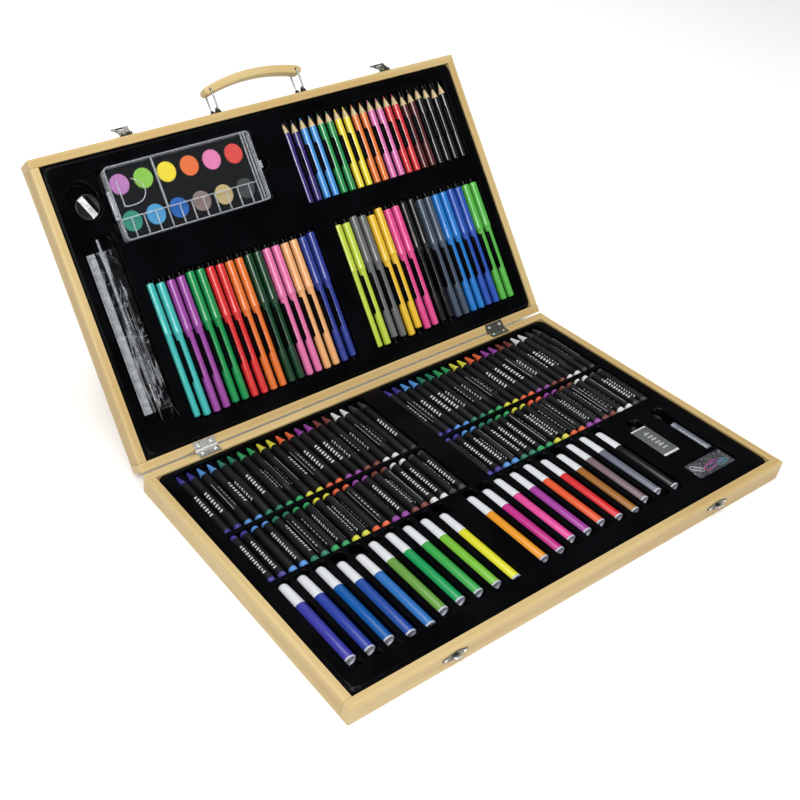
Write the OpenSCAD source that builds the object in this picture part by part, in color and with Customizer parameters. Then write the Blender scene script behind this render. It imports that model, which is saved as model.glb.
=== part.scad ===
// Hinged wooden art case, shown open, with its two moulded trays and the
// drawing and painting things that lie in them. Millimetres, +Z up.
// The origin is the centre of the lower half's underside; -Y is the latch side.

/* [Case] */
// Outer width of the case, left to right
case_w = 520; // [519:0.5:524]
// Outer depth of each half, hinge side to latch side
case_d = 305; // [304.5:0.5:308]
// Height of the lower half
base_h = 21; // [21:0.5:24]
// Height of the lid
lid_h = 22; // [22:0.5:25]
// Thickness of the wooden rails
rail_t = 8.5; // [8:0.25:8.5]
// Thickness of the let-in panels
panel_t = 3; // [2:0.5:3.5]
// Easing along the outer edges of the rails
ease = 0.8; // [0.3:0.1:1.5]
// Gap between the two rims when the case is shut
rim_gap = 2; // [2:0.1:2.6]
// How far the lid is open, measured from shut
lid_open = 130; // [100:0.5:140]

/* [Trays] */
// Thickness of the moulded tray skin
skin = 1; // [0.8:0.1:1.2]
// How far the tray's flange lies below the rim
flange_drop = 0.8; // [0.6:0.1:1]
// Corner radius of the tray's outline
tray_r = 9; // [5:0.5:12]

/* [Hinges and latches] */
// Distance of each hinge from the middle
hinge_x = 190; // [170:1:200]
// Width of a hinge along its pin
hinge_w = 24.6; // [20:0.2:28]
// Distance of the hinge pin behind the back rail
pin_off = 0.6; // [0.5:0.1:0.9]
// Radius of the hinge pin
pin_r = 0.7; // [0.6:0.05:0.8]
// How far right of the middle the latches and the handle are centred
front_off = 5; // [0:0.5:6]
// Distance of each latch from that centre
latch_x = 160; // [120:1:170]
// Length of a latch lever from its pin
lever_l = 14.2; // [14:0.1:14.8]
// Angle the lever turns through from shut to its stop
lever_open = 138; // [110:1:142]

/* [Handle] */
// Distance of each handle foot from the handle's centre
foot_x = 53; // [45:1:55]
// Height of the grip's holes above the lid's edge
grip_rise = 25.5; // [24:0.5:28]
// Radius of the grip's arch
grip_arch = 205; // [180:5:240]
// Thickness of the grip
grip_t = 9; // [8.4:0.1:9.6]
// Radius of the handle wire
wire_r = 0.9; // [0.7:0.1:1]

/* [Sticks] */
// Spacing of crayons and pastels
stick_pitch = 11.34; // [11.1:0.02:11.4]
// Radius of a wrapped crayon
crayon_r = 4.05; // [3.8:0.05:4.1]
// Length of a crayon with its tip
crayon_l = 87.8; // [86:0.2:88]
// Radius of a wrapped pastel
pastel_r = 4.1; // [3.8:0.05:4.15]
// Length of a pastel
pastel_l = 61.2; // [59:0.2:61.4]
// Spacing of the thick markers
marker_pitch = 18.95; // [18.5:0.05:19]
// Radius of a thick marker
marker_r = 6.1; // [5.8:0.1:6.1]
// Length of a thick marker with its cap
marker_l = 92; // [90:0.5:92]
// Spacing of the felt-tip pens
felt_pitch = 11.25; // [11.2:0.01:11.26]
// Radius of a felt-tip pen's cap
felt_cap_r = 4.5; // [4.2:0.1:4.5]
// Radius of a felt-tip pen's barrel
felt_r = 3.85; // [3.6:0.05:3.9]
// Length of a felt-tip pen
felt_l = 135; // [132:0.5:135]
// Spacing of the pencils
pencil_pitch = 11.23; // [11.2:0.01:11.25]
// Radius of a pencil
pencil_r = 3.6; // [3.4:0.05:3.65]
// Length of a pencil
pencil_l = 87.7; // [86:0.1:88]

/* [Loose pieces] */
// Length of the ruler
ruler_l = 158; // [156:0.5:160]
// Width of the ruler
ruler_w = 30.4; // [29:0.1:31]
// Radius of the round sharpener
sharp_r = 12.5; // [12:0.1:12.7]
// Radius of a paint cake
cake_r = 10.3; // [9.8:0.1:10.3]

/* [Hidden] */
$fn = 48;
eps = 0.01;
half_w = case_w/2;
half_d = case_d/2;
in_w = case_w - 2*rail_t;      // inside width of the rails
in_d = case_d - 2*rail_t;      // inside depth of the rails
pin_y = half_d + pin_off;      // hinge axis
pin_z = base_h + rim_gap/2;
flange_b = base_h - flange_drop;   // top of the lower tray's flange
flange_l = lid_h - flange_drop;    // the same in the lid's own frame
fit = 0.35;                    // clearance between a stick and its groove

// heights of the stick axes
crayon_z = flange_b - 0.6 - 4.0;
marker_z = flange_b - 0.2 - marker_r;
felt_z = flange_l - 0.5 - felt_cap_r;
pencil_z = flange_l - 0.6 - pencil_r;

// places in the lower tray
row_x = [-232.5, 17.5];        // first stick of each crayon row
crayon_y = 138.1;              // tips of the crayons
pastel_y = 44.0;               // back ends of the pastels
marker_x = [-228.5, -21.5];    // first marker of each set
marker_y = -114.2;             // front ends of the markers
marker_back = [[0, 0.5, 1, 5.6, 7.6, 1.4, 1, 2.5, 4, 7.9],
               [4.5, 4.8, 0, 1.4, 0, 3.7, 6.2, 0.8, 0, 3.7]];
eraser_p = [185, -66];
tube_x = 222.4;
tube_y = [-57.6, -100.4];
pack_p = [203, -114.7];

// places in the lid, across and up from the hinge edge
felt_x = [-184.6, 41.3];
felt_v = 27.2;
felt_up = [[2.5, 0.5, 0, 0.5, 2, 1.4, 0.5, 0, 0, 0, 0.5, 0.5, 0.5, 0.5, 0, 0.5, 0.5, 2.5],
           [0.8, 0.3, 4.8, 2.5, 0, 4.8, 0.5, 1.4, 2, 3.4, 0, 0, 0, 0, 0.4, 0, 0, 0]];
pencil_x = 19.3;
pencil_v = 192.8;
pencil_short = [0, 1.5, 0, 0, 0, 0, 0, 0, 0.5, 0.5, 0, 0.5, 0.5, 0.5, 3.5, 2.5, 1, 2.5, 4.5, 2.5];
pal_o = [-190.8, 208.7, flange_l - 11.4];   // corner of the paint box
pal_w = 165.7;
pal_d = 72.6;
cake_x0 = 13.5;
cake_pitch = 26.1;
cake_v = [54.5, 17.9];
sharp_p = [-217.8, 249.7];
sharp_a = -65;
ruler_p = [-221.4, 48.5];
brush_x = -219.6;
brush_z = flange_l - 5.1;

crayon_c = ["midnightblue", "cornflowerblue", "teal", "seagreen", "gold",
            "orangered", "purple", "saddlebrown", "white", "dimgray"];
marker_c = [["royalblue", "mediumblue", "dodgerblue", "blue", "steelblue",
             "olivedrab", "green", "mediumseagreen", "yellowgreen", "yellow"],
            ["orange", "mediumvioletred", "hotpink", "mediumorchid", "tomato",
             "red", "peru", "rosybrown", "gray", "dimgray"]];
felt_c = [["turquoise", "purple", "green", "red", "orange", "darkgreen",
           "hotpink", "sandybrown", "navy"],
          ["greenyellow", "gray", "gold", "deeppink", "black", "slategray",
           "deepskyblue", "royalblue", "limegreen"]];
pencil_c = ["indigo", "lightskyblue", "green", "yellow", "darkorange",
            "hotpink", "red", "maroon", "dimgray", "black"];
cake_c = [["plum", "yellowgreen", "gold", "darkorange", "hotpink", "red"],
          ["teal", "cornflowerblue", "royalblue", "rosybrown", "burlywood", "dimgray"]];

// ---------- helpers ----------

// Stand the lid's own frame (x, v up from the hinge edge, depth from its back)
// at the angle at which the lid is open.
module on_lid() {
    translate([0, pin_y, pin_z]) rotate([180 - lid_open, 0, 0])
        translate([0, pin_off, -(lid_h + rim_gap/2)]) children();
}

// A rounded rectangle, centred
module rrect(w, d, r) {
    square([w - 2*r, d], center = true);
    square([w, d - 2*r], center = true);
    for (sx = [-1, 1], sy = [-1, 1])
        translate([sx*(w/2 - r), sy*(d/2 - r)]) circle(r);
}

// A slot outline with round ends, centred, long in x
module stadium(l, w) {
    square([l - w, w], center = true);
    for (s = [-1, 1]) translate([s*(l - w)/2, 0]) circle(w/2);
}

// A round bar along +y
module bar_y(r, l) { rotate([-90, 0, 0]) cylinder(h = l, r = r); }
// A round cone along +y
module cone_y(r1, r2, l) { rotate([-90, 0, 0]) cylinder(h = l, r1 = r1, r2 = r2); }

// Rail along x, its outer face at y = 0 and its inner face at y = t.
// e is the bevel of its outer edge at the rim.
module rail_x(l, h, t, e = ease) {
    rotate([90, 0, 90]) translate([0, 0, -l/2]) linear_extrude(l)
        polygon([[ease, 0], [t, 0], [t, h - 0.3], [t - 0.3, h], [e, h], [0, h - e], [0, ease]]);
}

// Rail along y with its outer face at x = 0 and its inner face at x = t
module rail_y(l, h, t) {
    rotate([90, 0, 0]) translate([0, 0, -l/2]) linear_extrude(l)
        polygon([[ease, 0], [t, 0], [t, h - 0.3], [t - 0.3, h], [ease, h], [0, h - ease], [0, ease]]);
}

// ---------- wooden case ----------

// Pilot holes for the screws of a plate on a rail's face
module face_bores(xs) {
    for (x = xs) translate([x, 0, 0]) rotate([90, 0, 0]) translate([0, 0, -7.1]) cylinder(h = 8, r = 0.89, $fn = 32);
}
// and for the two screws of a hinge leaf on a rim
module rim_bores() {
    for (s = [-1, 1]) translate([s*hinge_w*0.3, -4.3, -8.1]) cylinder(h = 9, r = 0.89, $fn = 32);
}

wood = "burlywood";
module base_rail_front() {
    color(wood) difference() {
        translate([0, -half_d, 0]) rail_x(case_w, base_h, rail_t);
        for (s = [-1, 1]) at_strike(s) face_bores([-10, 10]);
    }
}
module base_rail_back() {
    color(wood) difference() {
        translate([0, half_d, 0]) mirror([0, 1, 0]) rail_x(case_w, base_h, rail_t, 0.2);
        for (s = [-1, 1]) at_base_hinge(s) {
            rim_bores();
            knuckle_notch(-hinge_w/2 - 0.8, hinge_w/2 + 0.8);
        }
    }
}
module base_rail_left() { color(wood) translate([-half_w, 0, 0]) rail_y(in_d, base_h, rail_t); }
module base_rail_right() { color(wood) translate([half_w, 0, 0]) mirror([1, 0, 0]) rail_y(in_d, base_h, rail_t); }
module base_panel() { color("wheat") translate([-in_w/2, -in_d/2, 0]) cube([in_w, in_d, panel_t]); }

module lid_rail_front() {
    color(wood) difference() {
        on_lid() translate([0, case_d, 0]) mirror([0, 1, 0]) rail_x(case_w, lid_h, rail_t);
        for (s = [-1, 1]) {
            on_lid_front(front_off + s*latch_x, lever_z - 4.4) face_bores([-11.5, 11.5]);
            on_lid_front(front_off + s*foot_x, mid_z) face_bores([-11, 11]);
        }
    }
}
module lid_rail_back() {
    color(wood) difference() {
        on_lid() rail_x(case_w, lid_h, rail_t, 0.2);
        for (s = [-1, 1]) at_lid_hinge(s) {
            rim_bores();
            knuckle_notch(-hinge_w/2 - 0.8, hinge_w/2 + 0.8);
        }
    }
}
module lid_rail_left() { color(wood) on_lid() translate([-half_w, half_d, 0]) rail_y(in_d, lid_h, rail_t); }
module lid_rail_right() { color(wood) on_lid() translate([half_w, half_d, 0]) mirror([1, 0, 0]) rail_y(in_d, lid_h, rail_t); }
module lid_panel() { color("wheat") on_lid() translate([-in_w/2, rail_t, 0]) cube([in_w, in_d, panel_t]); }

// ---------- moulded trays ----------

// Outline of a row of n grooves with the space above them, at the stick axis.
// Joined rows are open from side to side above the axis.
module row_2d(n, pitch, r, top, joined) {
    for (i = [0:n - 1]) translate([i*pitch, 0]) circle(r);
    if (joined) translate([-r, 0]) square([(n - 1)*pitch + 2*r, top]);
    else for (i = [0:n - 1]) translate([i*pitch - r, 0]) square([2*r, top]);
}

// The same as a solid, from y1 towards -y
module row_3d(x0, z, y1, l, n, pitch, r, top, joined) {
    translate([x0, y1, z]) rotate([90, 0, 0]) linear_extrude(l) row_2d(n, pitch, r, top, joined);
}

// A row's outer skin (k = 1) or its hollow (k = 0)
module row_cut(k, x0, z, y1, l, n, pitch, r, top, joined = true) {
    row_3d(x0, z, y1 + k*skin, l + 2*k*skin, n, pitch, r + k*skin, k == 1 ? top - 0.2 : top + 3, joined);
}

module box_cut(k, x, y, w, d, floor_z, top) {
    translate([x - w/2 - k*skin, y - d/2 - k*skin, floor_z - k*skin])
        cube([w + 2*k*skin, d + 2*k*skin, top - floor_z + (k == 1 ? skin - 0.2 : 1)]);
}

module well_cut(k, x, y, r, floor_z, top) {
    translate([x, y, floor_z - k*skin]) cylinder(h = top - floor_z + (k == 1 ? skin - 0.2 : 1), r = r + k*skin);
}

module flange(z, y0) {
    translate([0, y0, z - skin]) linear_extrude(skin) rrect(in_w - 0.4, in_d - 0.4, tray_r);
    translate([0, y0, panel_t]) linear_extrude(z - skin - panel_t + eps) difference() {
        rrect(in_w - 0.4, in_d - 0.4, tray_r);
        rrect(in_w - 0.4 - 2*skin, in_d - 0.4 - 2*skin, tray_r - skin);
    }
}

module base_pockets(k) {
    for (x = row_x) {
        row_cut(k, x, crayon_z, crayon_y + 1.3, crayon_l + 2.6, 20, stick_pitch, crayon_r + fit, flange_b - crayon_z);
        row_cut(k, x, crayon_z, pastel_y + 0.8, pastel_l + 1.6, 20, stick_pitch, pastel_r + fit, flange_b - crayon_z);
    }
    for (x = marker_x)
        row_cut(k, x, marker_z, marker_y + marker_l + 0.6, marker_l + 10.1, 10, marker_pitch, marker_r + fit, flange_b - marker_z, false);
    box_cut(k, eraser_p[0], eraser_p[1], 22.4, 42.6, flange_b - 11.8, flange_b);
    well_cut(k, eraser_p[0] + 2, eraser_p[1] + 25.5, 8.5, flange_b - 11.4, flange_b);
    row_cut(k, tube_x, flange_b - 5.9, tube_y[0] + 14, tube_y[0] + 14 - tube_y[1] + 1, 1, 1, 5.85, 5.9);
    well_cut(k, tube_x, tube_y[0] + 17, 8.5, flange_b - 11.4, flange_b);
    box_cut(k, pack_p[0], pack_p[1], 54.6, 22.2, flange_b - 6.8, flange_b);
}

module base_tray() {
    color("black") difference() {
        union() {
            flange(flange_b, 0);
            base_pockets(1);
        }
        base_pockets(0);
    }
}

module lid_pockets(k) {
    for (x = felt_x)
        row_cut(k, x, felt_z, felt_v + felt_l + 6.3, felt_l + 8, 18, felt_pitch, felt_cap_r + fit, flange_l - felt_z);
    row_cut(k, pencil_x, pencil_z, pencil_v + pencil_l + 1.5, pencil_l + 2.8, 20, pencil_pitch, pencil_r + fit, flange_l - pencil_z);
    box_cut(k, pal_o[0] + pal_w/2 - 4, pal_o[1] + pal_d/2, pal_w + 10, pal_d + 1.8, pal_o[2] - 0.3, flange_l);
    well_cut(k, pal_o[0] + pal_w + 3, pal_o[1] + pal_d/2, 7, flange_l - 9, flange_l);
    well_cut(k, sharp_p[0], sharp_p[1], sharp_r + 0.7, flange_l - 12, flange_l);
    well_cut(k, sharp_p[0] - 3, sharp_p[1] + 10, 15, flange_l - 9, flange_l);
    box_cut(k, ruler_p[0], ruler_p[1] + ruler_l/2 + 1.5, 35.6, 184, brush_z - 2.7, flange_l);
}

// Rounded snap nubs that stand between neighbouring sticks
module nubs(x0, n, pitch, v, l, w, z0) {
    translate([0, 0, z0]) linear_extrude(flange_l - 0.3 - z0)
        for (i = [0:n - 2]) translate([x0 + (i + 0.5)*pitch, v]) rotate(90) stadium(l, w);
}

module lid_tray() {
    color("black") on_lid() union() {
        difference() {
            union() {
                flange(flange_l, half_d);
                lid_pockets(1);
            }
            lid_pockets(0);
        }
        for (x = felt_x) nubs(x, 18, felt_pitch, 84, 42, 2.8, felt_z - 1.2);
        nubs(pencil_x, 20, pencil_pitch, 236, 31, 3.2, pencil_z - 1.2);
    }
}

// ---------- hinges ----------

leaf_t = rim_gap/2 - 0.1;
knuckle_r = 1.5;
hinge_metal = "silver";

// Room for the knuckles from x0 to x1, in a frame with the back face at y = 0 and the rim at z = 0
module knuckle_notch(x0, x1) {
    translate([x0, pin_off, rim_gap/2]) rotate([0, 90, 0]) cylinder(h = x1 - x0, r = knuckle_r + 0.3);
}

// Leaf lying on a rim, in the same frame.
// Its knuckles fill the x spans in list ks; the other leaf's turn in the spans in list os.
module leaf(ks, os, bore) {
    difference() {
        union() {
            difference() {
                translate([-hinge_w/2, -8.2, 0]) cube([hinge_w, 8.2, leaf_t]);
                for (k = os) knuckle_notch(k[0], k[1]);
            }
            for (k = ks) translate([k[0], pin_off, rim_gap/2]) rotate([0, 90, 0]) cylinder(h = k[1] - k[0], r = knuckle_r);
        }
        translate([-hinge_w/2 - 1, pin_off, rim_gap/2]) rotate([0, 90, 0]) cylinder(h = hinge_w + 2, r = bore);
        for (s = [-1, 1]) translate([s*hinge_w*0.3, -4.3, 0]) {
            translate([0, 0, -1]) cylinder(h = 3, r = 0.95, $fn = 32);
            translate([0, 0, leaf_t - 0.7]) cylinder(h = 0.71, r1 = 1, r2 = 1.75, $fn = 32);
        }
    }
}

module hinge_screw_pair() {
    for (s = [-1, 1]) translate([s*hinge_w*0.3, -4.3, 0]) {
        translate([0, 0, -8]) cylinder(h = 8.5, r = 0.85, $fn = 32);
        translate([0, 0, leaf_t - 0.66]) cylinder(h = 0.6, r1 = 0.9, r2 = 1.65, $fn = 32);
    }
}

base_knuckles = [[-hinge_w/2, -4.2], [4.2, hinge_w/2]];
lid_knuckles = [[-3.9, 3.9]];
base_rooms = [[-4.2, 4.2]];
lid_rooms = [[-hinge_w/2 - 0.5, -3.9], [3.9, hinge_w/2 + 0.5]];
module at_base_hinge(s) { translate([s*hinge_x, half_d, base_h]) children(); }
module at_lid_hinge(s) { on_lid() translate([s*hinge_x, 0, lid_h]) mirror([0, 1, 0]) children(); }

module hinge_leaf_base_left() { color(hinge_metal) at_base_hinge(-1) leaf(base_knuckles, base_rooms, pin_r + 0.02); }
module hinge_leaf_base_right() { color(hinge_metal) at_base_hinge(1) leaf(base_knuckles, base_rooms, pin_r + 0.02); }
module hinge_leaf_lid_left() { color(hinge_metal) at_lid_hinge(-1) leaf(lid_knuckles, lid_rooms, pin_r + 0.06); }
module hinge_leaf_lid_right() { color(hinge_metal) at_lid_hinge(1) leaf(lid_knuckles, lid_rooms, pin_r + 0.06); }
module hinge_pins() {
    color("gainsboro") for (s = [-1, 1])
        translate([s*hinge_x - hinge_w/2 - 0.4, pin_y, pin_z]) rotate([0, 90, 0]) cylinder(h = hinge_w + 0.8, r = pin_r);
}
module hinge_screws_base() { color("silver") for (s = [-1, 1]) at_base_hinge(s) hinge_screw_pair(); }
module hinge_screws_lid() { color("silver") for (s = [-1, 1]) at_lid_hinge(s) hinge_screw_pair(); }

// ---------- latches ----------

plate_t = 0.8;
catch_z = base_h - 7.5;                // height of the catch on the front rail
lever_z = lid_h - 1.8;                 // height of the lever's pin in the lid
lever_out = plate_t + 1.3;             // distance of that pin from the rail
catch_s = lid_h + rim_gap + base_h - catch_z - lever_z;   // pin to catch along the lever

// Leaf-shaped plate, wide in the middle, in x and z
module leaf_plate_2d(l, w) {
    hl = l/2;
    polygon([[-hl + 2, -2], [-5, -w/2], [5, -w/2], [hl - 2, -2], [hl - 2, 2], [5, w/2], [-5, w/2], [-hl + 2, 2]]);
    for (s = [-1, 1]) translate([s*(hl - 2), 0]) circle(2);
}

module at_strike(s) { translate([front_off + s*latch_x, -half_d, catch_z]) children(); }
module strike(s) {
    color("gray") at_strike(s) {
        rotate([90, 0, 0]) linear_extrude(plate_t) difference() {
            leaf_plate_2d(27, 9.6);
            for (q = [-1, 1]) translate([q*10, 0]) circle(0.95, $fn = 32);
        }
        translate([-3.5, -4.4, -0.7]) cube([7, 4.4 - plate_t + eps, 1.4]);
        translate([-3.5, -4.4, -0.7]) cube([7, 0.9, 2.6]);
    }
}
module strike_left() { strike(-1); }
module strike_right() { strike(1); }

// Small round-headed screws through a plate, in the plane of a rail's face
module face_screws(xs, t) {
    for (x = xs) translate([x, 0, 0]) rotate([90, 0, 0]) {
        translate([0, 0, -7]) cylinder(h = 7 + t + 0.1, r = 0.85, $fn = 32);
        translate([0, 0, t]) cylinder(h = 0.35, r = 1.6, $fn = 32);
        translate([0, 0, t + 0.35]) cylinder(h = 0.15, r1 = 1.6, r2 = 1.2, $fn = 32);
    }
}
module strike_screws() {
    color("silver") for (s = [-1, 1]) at_strike(s) face_screws([-10, 10], plate_t);
}

module on_lid_front(x, z) { on_lid() translate([x, case_d, z]) mirror([0, 1, 0]) children(); }

module latch_plate(s) {
    color("gray") on_lid_front(front_off + s*latch_x, lever_z - 4.4) {
        rotate([90, 0, 0]) linear_extrude(plate_t) difference() {
            leaf_plate_2d(30, 9.6);
            for (q = [-1, 1]) translate([q*11.5, 0]) circle(0.95, $fn = 32);
        }
        // two ears and the pin that they hold
        for (q = [-1, 1]) {
            translate([q*5.4, -lever_out, 4.4]) rotate([0, 90, 0]) cylinder(h = 2.2, r = 1.3, center = true);
            translate([q*5.4 - 1.1, -lever_out, 3.6]) cube([2.2, lever_out, 1.6]);
        }
        translate([-6.5, -lever_out, 4.4]) rotate([0, 90, 0]) cylinder(h = 13, r = 0.7);
    }
}
module latch_plate_left() { latch_plate(-1); }
module latch_plate_right() { latch_plate(1); }
module latch_screws() {
    color("silver") for (s = [-1, 1]) on_lid_front(front_off + s*latch_x, lever_z - 4.4) face_screws([-11.5, 11.5], plate_t);
}

// Flared lever, drawn shut and turned up to its stop
module latch_lever(s) {
    color("gray") on_lid() translate([front_off + s*latch_x, case_d + lever_out, lever_z]) rotate([-lever_open, 0, 0])
        difference() {
            union() {
                rotate([0, 90, 0]) cylinder(h = 8, r = 1.3, center = true);
                translate([-4, -0.4, 0]) cube([8, 0.8, 2.4]);
                translate([0, 0.4, 0]) rotate([90, 0, 0]) linear_extrude(0.8)
                    polygon([[-6.8, 1.9], [6.8, 1.9], [7, 4], [9.4, lever_l - 1.2], [9.4, lever_l], [-9.4, lever_l], [-9.4, lever_l - 1.2], [-7, 4]]);
                translate([-9.4, 0, lever_l - 0.8]) cube([18.8, 1.9, 0.8]);
            }
            rotate([0, 90, 0]) cylinder(h = 10, r = 0.75, center = true);
            translate([-4.1, -2, catch_s - 2.6]) cube([8.2, 2.9, 4]);
        }
}
module latch_lever_left() { latch_lever(-1); }
module latch_lever_right() { latch_lever(1); }

// ---------- handle ----------

ear_h = 4.2;                  // pivot height above the lid's edge
mid_z = lid_h/2;
leg_z = 7.2;                  // half the distance between a wire's legs
arch_c = grip_rise - sqrt(grip_arch*grip_arch - foot_x*foot_x);

module handle_foot(s) {
    color("dimgray") on_lid() translate([front_off + s*foot_x, case_d, mid_z]) {
        mirror([0, 1, 0]) rotate([90, 0, 0]) linear_extrude(1) difference() {
            stadium(30, 12.6);
            for (q = [-1, 1]) translate([q*11, 0]) circle(1, $fn = 32);
        }
        for (q = [-1, 1]) translate([0, 0, q*5.3 - 0.5]) linear_extrude(1) difference() {
            polygon([[-4.2, 0.9], [4.2, 0.9], [2, ear_h + 2.3], [-2, ear_h + 2.3]]);
            translate([0, ear_h]) circle(wire_r + 0.06, $fn = 32);
        }
    }
}
module handle_foot_left() { handle_foot(-1); }
module handle_foot_right() { handle_foot(1); }
module handle_screws() {
    color("silver") for (s = [-1, 1]) on_lid_front(front_off + s*foot_x, mid_z) face_screws([-11, 11], 1);
}

// Wire loop: in through both ears, up each side, and across through the grip
module handle_wire(s) {
    color("silver") on_lid() translate([front_off + s*foot_x, case_d, mid_z]) {
        translate([0, grip_rise, 0]) cylinder(h = 2*leg_z, r = wire_r, center = true, $fn = 32);
        for (q = [-1, 1]) {
            translate([0, ear_h, q*leg_z]) rotate([-90, 0, 0]) cylinder(h = grip_rise - ear_h, r = wire_r, $fn = 32);
            translate([0, ear_h, q*(leg_z - 1.45)]) cylinder(h = 2.9, r = wire_r, center = true, $fn = 32);
            translate([0, ear_h, q*leg_z]) sphere(wire_r, $fn = 32);
            translate([0, grip_rise, q*leg_z]) sphere(wire_r, $fn = 32);
        }
    }
}
module handle_wire_left() { handle_wire(-1); }
module handle_wire_right() { handle_wire(1); }

module handle_grip() {
    ex = foot_x + 2.2;
    ea = asin(ex/grip_arch);
    color("wheat") on_lid() translate([front_off, case_d, mid_z - 6]) difference() {
        linear_extrude(12) translate([0, arch_c]) {
            intersection() {
                difference() {
                    circle(grip_arch + grip_t/2, $fn = 180);
                    circle(grip_arch - grip_t/2, $fn = 180);
                }
                polygon([[0, 0], [-1.3*grip_arch*sin(ea), 1.3*grip_arch*cos(ea)], [1.3*grip_arch*sin(ea), 1.3*grip_arch*cos(ea)]]);
            }
            for (q = [-1, 1]) translate([q*ex, grip_arch*cos(ea)]) circle(grip_t/2 - 0.06);
        }
        for (q = [-1, 1]) translate([q*foot_x, grip_rise, -1]) cylinder(h = 14, r = wire_r + 0.08, $fn = 32);
    }
}

// ---------- felt-tip pens ----------

felt_cap_l = 52;
module felts(part) {
    on_lid() for (g = [0, 1], i = [0:17])
        color(felt_c[g][floor(i/2)]) translate([felt_x[g] + i*felt_pitch, felt_v + felt_up[g][i], felt_z])
            if (part == 0) {
                bar_y(felt_r, felt_l - felt_cap_l);
                translate([0, felt_l - felt_cap_l - eps, 0]) bar_y(3, 16);
                translate([0, felt_l - felt_cap_l + 15.9, 0]) cone_y(1.4, 0.6, 6);
            } else translate([0, felt_l - felt_cap_l + 0.05, 0]) difference() {
                union() {
                    bar_y(felt_cap_r, felt_cap_l - 1);
                    translate([0, felt_cap_l - 1 - eps, 0]) cone_y(felt_cap_r, felt_cap_r - 0.8, 1);
                }
                translate([0, -1, 0]) bar_y(3.4, 40);
            }
}
module felt_barrels() { felts(0); }
module felt_caps() { felts(1); }

// ---------- pencils ----------

pencil_cone = 12;
module pencil_casings() {
    on_lid() for (i = [0:19]) color(pencil_c[floor(i/2)])
        translate([pencil_x + i*pencil_pitch, pencil_v, pencil_z]) difference() {
            union() {
                bar_y(pencil_r, pencil_l - pencil_cone - pencil_short[i]);
                translate([0, pencil_l - pencil_cone - pencil_short[i] - eps, 0])
                    cone_y(pencil_r, 1.2, pencil_cone - 4);
            }
            translate([0, 1, 0]) bar_y(1.05, pencil_l);
            translate([0, -1, 0]) bar_y(1.05, 4);
        }
}
module pencil_leads() {
    on_lid() for (i = [0:19]) color(pencil_c[floor(i/2)])
        translate([pencil_x + i*pencil_pitch, pencil_v, pencil_z]) {
            bar_y(1, pencil_l - pencil_short[i] - 4);
            translate([0, pencil_l - pencil_short[i] - 4 - eps, 0]) cone_y(1, 0.25, 4);
        }
}

// ---------- sharpener ----------

sharp_h = 11;
module at_sharp() { on_lid() translate([sharp_p[0], sharp_p[1], flange_l - 0.6 - sharp_h]) rotate(sharp_a) children(); }
module sharpener_body() {
    color("black") at_sharp() difference() {
        union() {
            cylinder(h = sharp_h - 1, r = sharp_r);
            translate([0, 0, sharp_h - 1 - eps]) cylinder(h = 0.4, r1 = sharp_r, r2 = sharp_r - 0.5);
        }
        // tapered pencil hole along the blade, open at the near end
        translate([sharp_r + 0.5, 0, 5.6]) rotate([0, -90, 0]) cylinder(h = 21, r1 = 3.9, r2 = 1);
        // shavings mouth beside the blade's edge
        translate([-7, 2.2, 5]) cube([15, 4, sharp_h]);
        translate([0, -1.5, sharp_h - 1.9]) cylinder(h = 3, r = 0.89, $fn = 32);
    }
}
module sharpener_blade() {
    color("silver") at_sharp() translate([0, -1, sharp_h - 0.6 + 0.05]) difference() {
        translate([-11.2, -3.5, 0]) cube([22.4, 7, 0.5]);
        translate([0, -0.5, -1]) cylinder(h = 3, r = 0.95, $fn = 32);
    }
}
module sharpener_screw() {
    color("gainsboro") at_sharp() translate([0, -1.5, 0]) {
        translate([0, 0, sharp_h - 0.02]) cylinder(h = 0.45, r = 1.6, $fn = 32);
        translate([0, 0, sharp_h - 1.8]) cylinder(h = 2, r = 0.85, $fn = 32);
    }
}

// ---------- paint box ----------

pal_split = 7;
hin = -1.9;                         // hinge axis left of the box
module at_pal() { on_lid() translate(pal_o) children(); }
module palette_tray() {
    color("lightcyan", 0.5) at_pal() {
        difference() {
            union() {
                translate([pal_w/2, pal_d/2, 0]) linear_extrude(pal_split) difference() {
                    rrect(pal_w, pal_d, 4);
                    rrect(pal_w - 2.4, pal_d - 2.4, 2.8);
                }
                translate([pal_w/2, pal_d/2, pal_split - 1.6]) linear_extrude(1.2) rrect(pal_w - 1, pal_d - 1, 3.5);
                for (i = [0:5], v = cake_v)
                    translate([cake_x0 + i*cake_pitch, v, 1.8]) cylinder(h = pal_split - 2.2, r = cake_r + 0.9);
            }
            for (i = [0:5], v = cake_v)
                translate([cake_x0 + i*cake_pitch, v, 3]) cylinder(h = 10, r = cake_r + 0.1);
        }
        // two ears with the pins that the cover turns on
        for (q = [0, 1]) translate([hin, q == 0 ? 22 : 46.4, pal_split]) {
            bar_y(1.7, 3.6);
            translate([0, 0, -1.5]) cube([-hin + 0.3, 3.6, 1.5]);
            translate([0, q == 0 ? 0 : -3.4, 0]) bar_y(1, 7);
        }
    }
}
module paint_cakes() {
    at_pal() for (j = [0, 1], i = [0:5]) color(cake_c[j][i])
        translate([cake_x0 + i*cake_pitch, cake_v[j], 3.05]) cylinder(h = 2.9, r = cake_r);
}
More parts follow.
